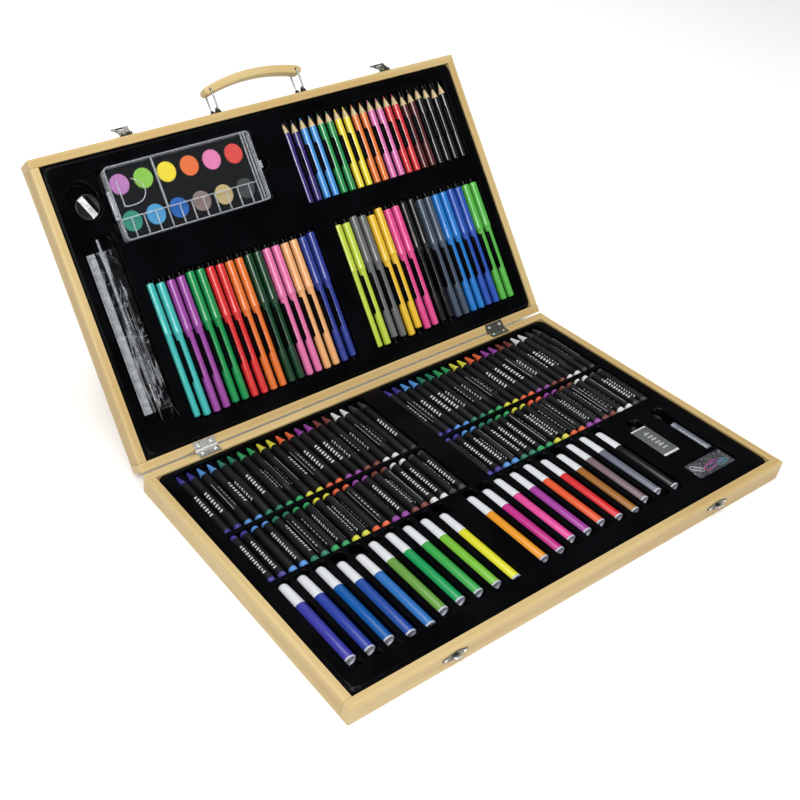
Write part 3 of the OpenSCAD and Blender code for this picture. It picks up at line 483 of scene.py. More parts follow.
W_LIGHT, W_DARK = lin(228, 203, 143), lin(206, 172, 110)
MATS = {
    "rail": wood("wood_rail", W_LIGHT, W_DARK, 150.0, 2.6, contrast=1.35),
    "panel": wood("wood_panel", lin(224, 198, 146), lin(198, 164, 108), 55.0, 1.6, 0.5),
    "panel_lid": wood("wood_panel_lid", lin(224, 198, 146), lin(198, 164, 108), 55.0, 1.6, 0.5, rot=(math.radians(-(180 - LID_OPEN)), 0, 0)),
    "grip": wood("wood_grip", lin(230, 206, 146), lin(206, 174, 112), 170.0, 6.0, 0.42),
    "tray": tray_black(),
    "nickel": metal("metal_nickel", (0.86, 0.85, 0.79), 0.24, 0.60, 150.0),
    # painted shade: the right-hand hinge leaves get a darker copy of the same nickel
    "nickel_shaded": metal("metal_nickel_shaded", (0.44, 0.44, 0.37), 0.22, 0.80, 170.0),
    "latch": metal("metal_latch", (0.17, 0.17, 0.14), 0.27, 0.80, 170.0),
    "bright": metal("metal_bright", (0.78, 0.78, 0.77), 0.18, 0.35, 120.0),
    "blade": metal("metal_blade", (0.94, 0.94, 0.95), 0.42, 0.10, 120.0),
    "darkmetal": metal("metal_dark", (0.075, 0.07, 0.065), 0.36, 0.5, 120.0),
    "wire": metal("metal_wire", (0.30, 0.30, 0.30), 0.24, 0.6, 200.0),
    "alu": metal("metal_ferrule", (0.26, 0.26, 0.27), 0.30, 0.5, 200.0),
    "pen": tinted("plastic_pen", 0.24, 0.05, 0.05, coat=0.55),
    "pen_cap": tinted("plastic_pen_cap", 0.28, 0.06, 0.06, coat=0.45),
    "lacquer": tinted("lacquer_pencil", 0.22, 0.06, 0.05, coat=0.7, grain=260.0),
    "lead": tinted("lead_wax", 0.55, 0.15, 0.25),
    "pencilwood": pencil_wood(),
    "wax": tinted("wax_crayon", 0.48, 0.18, 0.22, dust=0.22),
    "pastel": tinted("wax_pastel", 0.62, 0.20, 0.35, dust=0.30),
    "marker": tinted("plastic_marker", 0.32, 0.06, 0.05, coat=0.22, spec=0.32),
    "crayon_print": print_wrapper("paper_crayon", 24.0, 54.0, 3.75, 1.75, 2.2),
    "pastel_print": print_wrapper("paper_pastel", 10.5, 48.0, 3.1, 1.45, 1.9),
    "whitecap": white_plastic("plastic_white", lin(232, 235, 240)),
    "plug": white_plastic("plastic_plug", lin(205, 208, 224), 0.42),
    "clear_sheet": clear("plastic_clear_sheet", lin(215, 220, 226), 0.006, 0.12, 0.05),
    # painted reflection: the rims, walls and ribs of the paint box use this more opaque whitish clear plastic to stand
    # in for light caught in their edges
    "clear_edge": clear("plastic_clear_edge", lin(226, 232, 240), 0.36, 0.95, 0.08, cloud=0.10),
    "clear_box": clear("plastic_clear_box", lin(190, 198, 206), 0.008, 0.30, 0.08),
    "clear_brush": clear("plastic_clear_brush", lin(196, 202, 208), 0.20, 0.80, 0.10, cloud=0.25),
    "clear_tube": clear("plastic_clear_tube", lin(150, 158, 172), 0.42, 0.92, 0.16, cloud=0.22),
    "film": clear("film_clear", lin(225, 230, 238), 0.02, 0.40, 0.06, cloud=0.02, streak=0.20),
    "cake": paint_cake(),
    "sharp": tinted("plastic_sharpener", 0.3, 0.1, 0.1),
    "ruler": ruler_mat(),
    "card": card_sleeve(),
    "rubber": rubber("rubber_white", lin(232, 232, 228)),
    "bristle": bristle_mat(),
    "floor": floor_mat(),
    "clip": tinted("vinyl_clip", 0.3, 0.05, 0.05, coat=0.4),
}


# ------------------------------------------------------------------ mesh builder
class Acc:
    """Gathers vertices and faces in millimetres, with a tint per vertex and a place value per corner."""

    def __init__(self):
        self.v, self.f, self.mi, self.sm, self.loc = [], [], [], [], []
        self.tint, self.edge = [], []
        self.n = 0

    def verts(self, pts, tint=(0.5, 0.5, 0.5), edge=0.0):
        start = self.n
        pts = np.asarray(pts, float).reshape(-1, 3)
        self.v.append(pts)
        self.n += len(pts)
        self.tint.append(np.tile(np.array([*tint, 1.0]), (len(pts), 1)))
        e = np.zeros(len(pts)) + edge
        self.edge.append(e)
        return start

    def face(self, idx, mat=0, smooth=True, loc=None):
        self.f.append(tuple(int(i) for i in idx))
        self.mi.append(mat)
        self.sm.append(smooth)
        self.loc.append(loc if loc is not None else [(0.0, 0.0, 0.0)] * len(idx))

    def add(self, V, F, mat=0, smooth=True, tint=(0.5, 0.5, 0.5), edge=0.0, M=None):
        V = np.asarray(V, float)
        if M is not None:
            A = np.array(M)
            V = V @ A[:3, :3].T + A[:3, 3]
        s = self.verts(V, tint, edge)
        for f in F:
            self.face([s + i for i in f], mat, smooth)
        return s

    def lathe(self, o, prof, n=24, axis="y", tint=(0.5, 0.5, 0.5), mat=0, seed=0.0, roll=0.0, rib=None):
        """prof: (t, r[, mat]) along the axis. Normals point away from the axis where t grows."""
        ox, oy, oz = o
        ca = [math.cos(2 * math.pi * j / n) for j in range(n)]
        sa = [math.sin(2 * math.pi * j / n) for j in range(n)]
        rings = []
        for k, p in enumerate(prof):
            t, r = p[0], p[1]
            if r < 1e-6:
                pt = (ox, oy + t, oz) if axis == "y" else (ox, oy, oz + t)
                rings.append((self.verts([pt], tint), 1))
            else:
                pts = []
                for j in range(n):
                    rr = r
                    if rib and rib[0] < t < rib[1]:
                        fade = min(1.0, (t - rib[0]) / 1.2, (rib[1] - t) / 1.2)
                        rr = r - rib[3] * fade * (0.5 + 0.5 * math.cos(rib[2] * 2 * math.pi * j / n)) ** 1.5
                    if axis == "y":
                        pts.append((ox + rr * ca[j], oy + t, oz + rr * sa[j]))
                    else:
                        pts.append((ox + rr * ca[j], oy + rr * sa[j], oz + t))
                rings.append((self.verts(pts, tint), n))
        step = 2 * math.pi / n
        for i in range(len(prof) - 1):
            (a, na), (b, nb) = rings[i], rings[i + 1]
            ta, tb = prof[i][0], prof[i + 1][0]
            mt = prof[i][2] if len(prof[i]) > 2 else mat
            for j in range(n):
                j2 = (j + 1) % n
                g0, g1 = j * step - roll, (j + 1) * step - roll
                if na == 1 and nb == 1:
                    continue
                if na == 1:
                    q = [a, b + j, b + j2]
                    L = [(g0, ta, seed), (g0, tb, seed), (g1, tb, seed)]
                elif nb == 1:
                    q = [a + j, b, a + j2]
                    L = [(g0, ta, seed), (g0, tb, seed), (g1, ta, seed)]
                else:
                    q = [a + j, b + j, b + j2, a + j2]
                    L = [(g0, ta, seed), (g0, tb, seed), (g1, tb, seed), (g1, ta, seed)]
                if axis == "z":
                    q.reverse()
                    L.reverse()
                self.face(q, mt, True, L)

    def build(self, name, mats, body, M=BASE, replaces=(), slot=None):
        me = bpy.data.meshes.new(name)
        V = np.concatenate(self.v) * MM
        me.from_pydata(V.tolist(), [], self.f)
        me.polygons.foreach_set("material_index", np.array(self.mi, np.int32))
        me.polygons.foreach_set("use_smooth", np.array(self.sm, bool))
        t = me.attributes.new("tint", "FLOAT_COLOR", "POINT")
        t.data.foreach_set("color", np.concatenate(self.tint).astype(np.float32).ravel())
        e = me.attributes.new("edge", "FLOAT", "POINT")
        e.data.foreach_set("value", np.concatenate(self.edge).astype(np.float32))
        c = me.attributes.new("loc", "FLOAT_VECTOR", "CORNER")
        flat = [x for face in self.loc for p in face for x in p]
        c.data.foreach_set("vector", np.array(flat, np.float32))
        for m in mats:
            me.materials.append(MATS[m])
        me.update()
        o = bpy.data.objects.new(name, me)
        bpy.context.scene.collection.objects.link(o)
        o.matrix_world = M
        return place(o, body, replaces)


def place(o, body, replaces=()):
    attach(o, body)
    if replaces:
        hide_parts(*replaces)
    return o


def bm_take(bm):
    bm.verts.ensure_lookup_table()
    V = [tuple(v.co) for v in bm.verts]
    F = [[v.index for v in f.verts] for f in bm.faces]
    bm.free()
    return V, F


def rbox(lo, hi, r=0.4, seg=3):
    """A box with rounded edges, in mm."""
    bm = bmesh.new()
    bmesh.ops.create_cube(bm, size=1.0)
    for v in bm.verts:
        for i in range(3):
            v.co[i] = lo[i] + (v.co[i] + 0.5) * (hi[i] - lo[i])
    bmesh.ops.bevel(bm, geom=bm.edges[:], offset=r, segments=seg, profile=0.5, affect="EDGES")
    bm.verts.index_update()
    return bm_take(bm)


def plate(outer, holes=(), t=1.0, r=0.15, seg=2):
    """A flat plate with rounded edges from an outline and its holes (lists of xy), z from 0 to t. Returns V, F in mm."""
    cu = bpy.data.curves.new("tmp", "CURVE")
    cu.dimensions = "2D"
    cu.fill_mode = "BOTH"
    for pts in [outer, *holes]:
        sp = cu.splines.new("POLY")
        sp.points.add(len(pts) - 1)
        for i, (x, y) in enumerate(pts):
            sp.points[i].co = (x, y, 0, 1)
        sp.use_cyclic_u = True
    cu.extrude = t / 2 - r
    cu.bevel_depth = r
    cu.bevel_resolution = seg
    cu.offset = -r
    o = bpy.data.objects.new("tmp", cu)
    bpy.context.scene.collection.objects.link(o)
    dg = bpy.context.evaluated_depsgraph_get()
    me = bpy.data.meshes.new_from_object(o.evaluated_get(dg))
    bm = bmesh.new()
    bm.from_mesh(me)
    bmesh.ops.remove_doubles(bm, verts=bm.verts, dist=1e-4)
    bmesh.ops.translate(bm, verts=bm.verts, vec=(0, 0, t / 2))
    bmesh.ops.recalc_face_normals(bm, faces=bm.faces)
    bm.verts.index_update()
    out = bm_take(bm)
    bpy.data.objects.remove(o)
    bpy.data.curves.remove(cu)
    bpy.data.meshes.remove(me)
    return out


def circle(cx, cy, r, n=24):
    return [(cx + r * math.cos(2 * math.pi * i / n), cy + r * math.sin(2 * math.pi * i / n)) for i in range(n)]


def rrect(w, d, r, n=6, cx=0, cy=0):
    out = []
    for q, (sx, sy) in enumerate([(1, 1), (-1, 1), (-1, -1), (1, -1)]):
        for i in range(n + 1):
            a = math.pi / 2 * (q + i / n)
            out.append((cx + sx * (w / 2 - r) + r * math.cos(a), cy + sy * (d / 2 - r) + r * math.sin(a)))
    return out


def smooth_path(pts, per=8):
    """Catmull-Rom through the points."""
    P = [np.array(p, float) for p in pts]
    out = []
    for i in range(len(P) - 1):
        p0, p1, p2, p3 = P[max(i - 1, 0)], P[i], P[i + 1], P[min(i + 2, len(P) - 1)]
        for k in range(per):
            t = k / per
            out.append(0.5 * ((2 * p1) + (-p0 + p2) * t + (2 * p0 - 5 * p1 + 4 * p2 - p3) * t * t + (-p0 + 3 * p1 - 3 * p2 + p3) * t ** 3))
    out.append(P[-1])
    return out


def tube(acc, pts, r, n=12, tint=(0.5, 0.5, 0.5), mat=0, closed=False):
    P = [Vector(p) for p in pts]
    m = len(P)
    up = None
    rings = []
    for i in range(m):
        a, b = (P[i - 1], P[(i + 1) % m]) if closed else (P[max(i - 1, 0)], P[min(i + 1, m - 1)])
        d = (b - a).normalized()
        if up is None:
            up = Vector((0, 0, 1)) if abs(d.z) < 0.9 else Vector((1, 0, 0))
        up = (up - d * up.dot(d)).normalized()
        s = d.cross(up)
        rings.append(acc.verts([tuple(P[i] + (up * math.cos(2 * math.pi * j / n) + s * math.sin(2 * math.pi * j / n)) * r) for j in range(n)], tint))
    for i in range(m if closed else m - 1):
        a, b = rings[i], rings[(i + 1) % m]
        for j in range(n):
            acc.face([a + j, a + (j + 1) % n, b + (j + 1) % n, b + j], mat)
    if not closed:
        acc.face([rings[0] + j for j in reversed(range(n))], mat, False)
        acc.face([rings[-1] + j for j in range(n)], mat, False)


def cut(obj, tools):
    """Takes tool meshes (V, F in mm, in the object's own frame) away from a piece."""
    for V, F in tools:
        me = bpy.data.meshes.new("tmp")
        me.from_pydata([(a * MM, b * MM, c * MM) for a, b, c in V], [], F)
        me.update()
        src = tuple(obj.data.attributes["tint"].data[0].color)
        own = me.attributes.new("tint", "FLOAT_COLOR", "POINT")
        for item in own.data:
            item.color = src
        t = bpy.data.objects.new("tmp", me)
        bpy.context.scene.collection.objects.link(t)
        t.matrix_world = obj.matrix_world
        bpy.context.view_layer.update()
        md = obj.modifiers.new("cut", "BOOLEAN")
        md.operation, md.solver, md.object = "DIFFERENCE", "EXACT", t
        dg = bpy.context.evaluated_depsgraph_get()
        new = bpy.data.meshes.new_from_object(obj.evaluated_get(dg), depsgraph=dg)
        obj.modifiers.clear()
        obj.data = new
        for item in new.attributes["tint"].data:
            if min(item.color) > 0.999:
                item.color = src
        bpy.data.objects.remove(t)


def cyl(p, axis, r, h, n=28):
    """A plain cylinder tool from p along axis x, y or z."""
    V, F = [], []
    for e in (0, h):
        for j in range(n):
            a = 2 * math.pi * j / n
            c, s = r * math.cos(a), r * math.sin(a)
            q = {"x": (e, c, s), "y": (s, e, c), "z": (c, s, e)}[axis]
            V.append((p[0] + q[0], p[1] + q[1], p[2] + q[2]))
    for j in range(n):
        F.append([j, (j + 1) % n, n + (j + 1) % n, n + j])
    F.append(list(reversed(range(n))))
    F.append([n + j for j in range(n)])
    return V, F


# ------------------------------------------------------------------ wooden rails
def rail(name, length, t, h, M, body, node, rt=1.1):
    """A rail with rounded edges along its own X; y 0 (outside) to t, z 0 to h."""
    ro, ri, k = 1.1, 0.5, 4

    def arc(cx, cy, r, a0, a1):
        return [(cx + r * math.cos(math.radians(a0 + (a1 - a0) * i / k)), cy + r * math.sin(math.radians(a0 + (a1 - a0) * i / k)), 1.0) for i in range(k + 1)]

    sec = []
    sec += arc(ro, ro, ro, 180, 270)
    sec += [(t * 0.5, 0.0, 0.0)]
    sec += arc(t - ri, ri, ri, 270, 360)
    sec += [(t, h * 0.5, 0.0)]
    sec += arc(t - ri, h - ri, ri, 0, 90)
    sec += [(t * 0.55, h, 0.0)]
    sec += arc(rt, h - rt, rt, 90, 180)
    sec += [(0.0, h * 0.66, 0.0), (0.0, h * 0.33, 0.0)]
    cx, cy = t / 2, h / 2
    L = length / 2
    xs = [(-L, 0.55), (-L + 0.12, 0.25), (-L + 0.35, 0.08), (-L + 0.8, 0.0), (-L + 2.5, 0.0)]
    xs += [(-L + 2.5 + (length - 5) * i / 24, 0.0) for i in range(1, 24)]
    xs += [(L - 2.5, 0.0), (L - 0.8, 0.0), (L - 0.35, 0.08), (L - 0.12, 0.25), (L, 0.55)]
    acc = Acc()
    rings = []
    r2 = random.Random(hash_name(name))
    for x, ins in xs:
        pts = []
        for (y, z, e) in sec:
            w = 0.05 * math.sin(x * 0.05 + y * 0.7 + z * 0.4)
            yy = y + ins * (1 if y < cx else -1) * min(1, abs(y - cx) / cx * 1.6) + w * (0.6 if y < 0.5 else 0)
            zz = z + ins * (1 if z < cy else -1) * min(1, abs(z - cy) / cy * 1.6)
            pts.append((x, yy, zz))
        s = acc.verts(pts)
        # the edge layer marks the rounded arcs and the end rings, which the wood lightens as a painted highlight
        acc.edge[-1][:] = [q[2] for q in sec]
        if ins > 0:
            acc.edge[-1][:] = 1.0
        rings.append(s)
    n = len(sec)
    for a, b in zip(rings, rings[1:]):
        for j in range(n):
            acc.face([a + j, a + (j + 1) % n, b + (j + 1) % n, b + j])
    acc.face([rings[0] + j for j in reversed(range(n))], 0, False)
    acc.face([rings[-1] + j for j in range(n)], 0, False)
    return acc.build(name, ["rail"], body, M, (node,), "rail_wood")


def hash_name(s):
    return sum(ord(c) * (i + 3) for i, c in enumerate(s))


W, D, RT = 520.0, 305.0, 8.5
IN_D = D - 2 * RT
MX = Matrix.Scale(-1, 4, (0, 1, 0))
flip = RZ(180)
rail("rail_base_front", W, RT, BASE_H, T(0, -D / 2, 0), "base", "base_rail_front")
rb = rail("rail_base_back", W, RT, BASE_H, T(0, D / 2, 0) @ flip, "base", "base_rail_back", 0.35)
rail("rail_base_left", IN_D - 0.1, RT, BASE_H, T(-W / 2, 0, 0) @ RZ(-90), "base", "base_rail_left")
rail("rail_base_right", IN_D - 0.1, RT, BASE_H, T(W / 2, 0, 0) @ RZ(90), "base", "base_rail_right")
rail("rail_lid_front", W, RT, LID_H, LID @ T(0, D, 0) @ flip, "lid", "lid_rail_front")
rl = rail("rail_lid_back", W, RT, LID_H, LID, "lid", "lid_rail_back", 0.35)
for ob, h in ((rb, BASE_H), (rl, LID_H)):
    cut(ob, [cyl((q * 190 - 13.1, -PIN_OFF, h + 1.0), "x", 1.82, 26.2, 48) for q in (-1, 1)])
rail("rail_lid_left", IN_D - 0.1, RT, LID_H, LID @ T(-W / 2, D / 2, 0) @ RZ(-90), "lid", "lid_rail_left")
rail("rail_lid_right", IN_D - 0.1, RT, LID_H, LID @ T(W / 2, D / 2, 0) @ RZ(90), "lid", "lid_rail_right")


# ------------------------------------------------------------------ moulded trays
def smin(a, b, k):
    h = np.clip(0.5 + 0.5 * (b - a) / k, 0, 1)
    return b * (1 - h) + a * h - k * h * (1 - h)


def smax(a, b, k):
    return -smin(-a, -b, k)


def sd_rect(x, y, cx, cy, hw, hd, r):
    qx, qy = np.abs(x - cx) - hw + r, np.abs(y - cy) - hd + r
    return np.hypot(np.maximum(qx, 0), np.maximum(qy, 0)) + np.minimum(np.maximum(qx, qy), 0) - r


def pocket(z, s, floor, slope=12.0, kt=0.9, kb=0.8):
    wall = 100.0 * 0 + s * slope
    return smin(z, smax(floor, wall + TOPZ, kb), kt)


def grid_lines(lo, hi, marks, widest, least=0.14):
    m = sorted(q for q in marks if lo < q < hi)
    out = [lo]
    for q in m + [hi]:
        if q - out[-1] < least:
            if q == hi:
                out[-1] = hi
            continue
        gap = q - out[-1]
        n = max(1, math.ceil(gap / widest))
        out += [out[-1] + gap * i / n for i in range(1, n + 1)]
    return np.array(out)


EDGE_STEPS = [-1.6, -1.0, -0.72, -0.5, -0.3, -0.12, 0.05, 0.25, 0.55, 1.0]


def around(v, sign=1):
    """Lines that follow a wall: the wall's top edge is at v and the pocket lies towards -sign."""
    return [v + sign * e for e in EDGE_STEPS]


def tray(name, zfun, xmarks, ymarks, y0, top, M, body, node, wx=9.0, wy=14.0):
    hw, hd, rc = 251.3, 143.8, 9.0
    ed = [0.3, 0.8, 1.6, 2.2, 2.6, 3.0, 3.4, 3.8, 4.3, 5.0, 7.0]
    xs = grid_lines(-hw, hw, xmarks + [-hw + e for e in ed] + [hw - e for e in ed], wx)
    ys = grid_lines(-hd, hd, [q - y0 for q in ymarks] + [-hd + e for e in ed] + [hd - e for e in ed], wy)
    X, Y = np.meshgrid(xs, ys)
    # rounded corners: squeeze the outer strip of each row
    cut = np.maximum(np.abs(Y) - (hd - rc), 0)
    Wd = hw - rc + np.sqrt(np.maximum(rc * rc - cut * cut, 0))
    inner = hw - rc - 4
    t = np.clip((np.abs(X) - inner) / (hw - inner), 0, 1)
    X = np.where(np.abs(X) > inner, np.sign(X) * (inner + t * (Wd - inner)), X)
    sb = sd_rect(X, Y, 0, 0, hw, hd, rc)
    Z = zfun(X, Y + y0)
    # turned-down border
    step = np.clip((sb + 3.6) / 0.9, 0, 1)
    Z = Z - 1.3 * step * step * (3 - 2 * step)
    ny, nx = X.shape
    P = np.stack([X, Y + y0, Z], -1).reshape(-1, 3)
    acc = Acc()
    acc.verts(P)
    I = np.arange(ny * nx).reshape(ny, nx)
    A, B, C, E = I[:-1, :-1].ravel(), I[:-1, 1:].ravel(), I[1:, 1:].ravel(), I[1:, :-1].ravel()
    zero = [(0.0, 0.0, 0.0)] * 4
    for a, b, c, e in zip(A.tolist(), B.tolist(), C.tolist(), E.tolist()):
        acc.f.append((a, b, c, e))
    nf = len(A)
    acc.mi += [0] * nf
    acc.sm += [True] * nf
    acc.loc += [zero] * nf
    loop = list(I[0, :]) + list(I[1:, -1]) + list(I[-1, :-1][::-1]) + list(I[1:-1, 0][::-1])
    L = P[loop]
    c = np.array([0, y0])
    n = len(loop)
    nxt, prv = np.roll(L, -1, 0), np.roll(L, 1, 0)
    tan = (nxt - prv)[:, :2]
    tan /= np.maximum(np.linalg.norm(tan, axis=1, keepdims=True), 1e-9)
    nor = np.stack([tan[:, 1], -tan[:, 0]], 1)
    prev = loop
    for off, dz in ((0.14, -0.08), (0.2, -0.3), (0.2, None)):
        ring = L.copy()
        ring[:, :2] += nor * off * 0.5
        ring[:, 2] = ring[:, 2] + dz if dz is not None else 3.05
        s = acc.verts(ring)
        cur = list(range(s, s + n))
        for i in range(n):
            acc.face([prev[i], cur[i], cur[(i + 1) % n], prev[(i + 1) % n]])
        prev = cur
    mid = acc.verts([(0, y0, 3.05)])
    for i in range(n):
        acc.face([prev[i], mid, prev[(i + 1) % n]], 0, False)
    return acc.build(name, ["tray"], body, M, (node,), "tray_plastic")


ROW_X = [-232.5, 17.5]
SP, CR_Z = 11.34, 15.6
CRAYON_Y, CRAYON_L = 138.1, 87.8
PASTEL_Y, PASTEL_L = 44.0, 61.2
MK_X, MK_P, MK_R, MK_Z, MK_Y, MK_L = [-228.5, -21.5], 18.95, 6.1, 13.9, -114.2, 92.0
MK_BACK = [[0, 0.5, 1, 5.6, 7.6, 1.4, 1, 2.5, 4, 7.9], [4.5, 4.8, 0, 1.4, 0, 3.7, 6.2, 0.8, 0, 3.7]]
ERASER = (185.0, -66.0)
TUBE_X, TUBE_Y = 222.4, (-57.6, -100.4)
PACK = (203.0, -114.7)


def grooves(x, x0, pitch, n, R, zc, ridge=0.5):
    i = np.clip(np.round((x - x0) / pitch), 0, n - 1)
    d = np.abs(x - x0 - i * pitch)
    g = zc - np.sqrt(np.maximum(R * R - d * d, 0))
    return smin(g, np.full_like(g, zc - ridge), 0.8)


TOPZ = TOP_B


def base_z(x, y):
    z = np.full_like(x, TOP_B)
    for x0 in ROW_X:
        w = SP * 19 / 2
        for (yt, ln, e, R) in ((CRAYON_Y, CRAYON_L, 1.3, 4.42), (PASTEL_Y, PASTEL_L, 0.8, 4.47)):
            s = sd_rect(x, y, x0 + w, yt - ln / 2, w + R + 0.35, ln / 2 + e + 0.25, 1.5)
            z = pocket(z, s, grooves(x, x0, SP, 20, R, CR_Z))
    for x0 in MK_X:
        i = np.clip(np.round((x - x0) / MK_P), 0, 9)
        cx = x0 + i * MK_P
        y1, y2 = MK_Y + MK_L + 1.0, MK_Y - 9.7
        s = sd_rect(x, y, cx, (y1 + y2) / 2, MK_R + 0.85, (y1 - y2) / 2, 3.0)
        d = np.abs(x - cx)
        floor = MK_Z - np.sqrt(np.maximum(6.5 ** 2 - d * d, 0))
        z = pocket(z, s, floor)
    z = pocket(z, sd_rect(x, y, ERASER[0], ERASER[1], 11.6, 21.7, 1.2), TOP_B - 11.8)
    z = pocket(z, np.hypot(x - ERASER[0] - 2, y - ERASER[1] - 25.5) - 8.6, TOP_B - 11.2 + 0.06 * ((x - ERASER[0] - 2) ** 2 + (y - ERASER[1] - 25.5) ** 2) ** 0.9)
    d = np.abs(x - TUBE_X)
    tz = TOP_B - 5.9 - np.sqrt(np.maximum(5.9 ** 2 - d * d, 0))
    z = pocket(z, sd_rect(x, y, TUBE_X, (TUBE_Y[0] + 14 + TUBE_Y[1] - 1) / 2, 6.2, (TUBE_Y[0] - TUBE_Y[1] + 15.6) / 2, 1.0), tz)
    z = pocket(z, np.hypot(x - TUBE_X, y - TUBE_Y[0] - 17) - 8.6, TOP_B - 11.2 + 0.06 * ((x - TUBE_X) ** 2 + (y - TUBE_Y[0] - 17) ** 2) ** 0.9)
    z = pocket(z, sd_rect(x, y, PACK[0], PACK[1], 27.6, 11.4, 2.5), TOP_B - 6.9)
    return z


xm = []
for x0 in ROW_X:
    for i in range(20):
        c = x0 + i * SP
        xm += [c + q for q in (-4.4, -4.1, -3.5, -2.4, 0, 2.4, 3.5, 4.1, 4.4)]
        if i < 19:
            xm += [c + SP / 2]
    xm += around(x0 - 4.8, -1) + around(x0 + 19 * SP + 4.8, 1)
for x0 in MK_X:
    for i in range(10):
        c = x0 + i * MK_P
        xm += [c + q for q in (-5.6, -4.2, -2.2, 0, 2.2, 4.2, 5.6)]
        for sg in (-1, 1):
            xm += [c + sg * (6.95 + e) for e in (-1.0, -0.6, -0.35, -0.12, 0.1, 0.4, 0.9)]
for (cx, hw_) in ((ERASER[0], 11.6), (TUBE_X, 6.2), (PACK[0], 27.6)):
    xm += around(cx - hw_, -1) + around(cx + hw_, 1)
xm += [TUBE_X + q for q in (-8.6, -7.8, -7, -5.2, -4, -2.5, 0, 2.5, 4, 5.2, 7, 7.8, 8.6, 9.4, -9.4)]
xm += [ERASER[0] + 2 + q for q in (-8.6, -8, -7.2, -6, -4, -2, 0, 2, 4, 6, 7.2, 8, 8.6, 9.4)]
ym = []
for (yt, ln, e) in ((CRAYON_Y, CRAYON_L, 1.55), (PASTEL_Y, PASTEL_L, 1.05)):
    ym += around(yt + e, 1) + around(yt - ln - e, -1)
ym += around(MK_Y + MK_L + 1.0, 1) + around(MK_Y - 9.7, -1)
ym += [MK_Y + MK_L - 2, MK_Y + MK_L - 0.8, MK_Y - 8.2, MK_Y - 7]
ym += around(ERASER[1] - 21.7, -1) + around(ERASER[1] + 21.7, 1) + around(PACK[1] - 11.4, -1) + around(PACK[1] + 11.4, 1)
ym += around(TUBE_Y[1] - 1.3, -1)
ym += [ERASER[1] + 25.5 + q for q in (-3, 0, 2, 4, 6, 7.2, 8, 8.6, 9.4)]
ym += [TUBE_Y[0] + 17 + q for q in (-8.6, -7, -5, -3, 0, 3, 5, 6.5, 7.5, 8.2, 8.8, 9.6)]
tray("tray_lower", base_z, xm, ym, 0.0, TOP_B, BASE, "base", "base_tray")

FELT_X, FELT_P, FELT_V, FELT_Z, FELT_L = [-184.6, 41.3], 11.25, 27.2, 16.2, 135.0
FELT_UP = [[2.5, 0.5, 0, 0.5, 2, 1.4, 0.5, 0, 0, 0, 0.5, 0.5, 0.5, 0.5, 0, 0.5, 0.5, 2.5],
           [0.8, 0.3, 4.8, 2.5, 0, 4.8, 0.5, 1.4, 2, 3.4, 0, 0, 0, 0, 0.4, 0, 0, 0]]
PEN_X, PEN_P, PEN_V, PEN_Z, PEN_L, PEN_R = 19.3, 11.23, 192.8, 17.0, 87.7, 3.6
SHORT = [0, 1.5, 0, 0, 0, 0, 0, 0, 0.5, 0.5, 0, 0.5, 0.5, 0.5, 3.5, 2.5, 1, 2.5, 4.5, 2.5]
PAL = (-190.8, 208.7, TOP_L - 11.4)
PAL_W, PAL_D = 165.7, 72.6
SHARP = (-217.8, 249.7)
RUL = (-221.4, 48.5)
RUL_L, RUL_W = 158.0, 30.4
BRUSH_X, BRUSH_Z = -219.6, TOP_L - 5.1


def capsule(x, y, cx, cy, half, r):
    dy = np.maximum(np.abs(y - cy) - half, 0)
    return np.hypot(x - cx, dy) - r


def lid_z(x, y):
    z = np.full_like(x, TOP_L)
    for x0 in FELT_X:
        w = FELT_P * 17 / 2
        s = sd_rect(x, y, x0 + w, FELT_V + FELT_L / 2 + 2.3, w + 4.85 + 0.35, FELT_L / 2 + 4.3, 1.5)
        z = pocket(z, s, grooves(x, x0, FELT_P, 18, 4.85, FELT_Z))
        i = np.clip(np.floor((x - x0) / FELT_P), 0, 16)
        nub = 21.7 - np.maximum(capsule(x, y, x0 + (i + 0.5) * FELT_P, 84.0, 19.6, 1.42), -1.0) * 9.0
        z = smax(z, np.minimum(nub, 21.55), 0.5)
    w = PEN_P * 19 / 2
    s = sd_rect(x, y, PEN_X + w, PEN_V + PEN_L / 2 + 0.1, w + 3.95 + 0.35, PEN_L / 2 + 1.7, 1.2)
    z = pocket(z, s, grooves(x, PEN_X, PEN_P, 20, 3.95, PEN_Z))
    i = np.clip(np.floor((x - PEN_X) / PEN_P), 0, 18)
    nub = 21.7 - np.maximum(capsule(x, y, PEN_X + (i + 0.5) * PEN_P, 236.0, 13.9, 1.6), -1.1) * 9.0
    z = smax(z, np.minimum(nub, 21.6), 0.5)
    z = pocket(z, sd_rect(x, y, PAL[0] + PAL_W / 2 - 4, PAL[1] + PAL_D / 2, PAL_W / 2 + 5.3, PAL_D / 2 + 1.2, 4.0), PAL[2] - 0.4)
    z = pocket(z, np.hypot(x - PAL[0] - PAL_W - 3, y - PAL[1] - PAL_D / 2) - 7.2, TOP_L - 8.8)
    z = pocket(z, np.hypot(x - SHARP[0], y - SHARP[1]) - (12.5 + 1.0), TOP_L - 12.0)
    z = pocket(z, np.hypot(x - SHARP[0] + 3, y - SHARP[1] - 10) - 15.2, TOP_L - 8.8)
    z = pocket(z, sd_rect(x, y, RUL[0], RUL[1] + RUL_L / 2 + 1.5, 18.1, 92.3, 5.0), BRUSH_Z - 2.8)
    return z


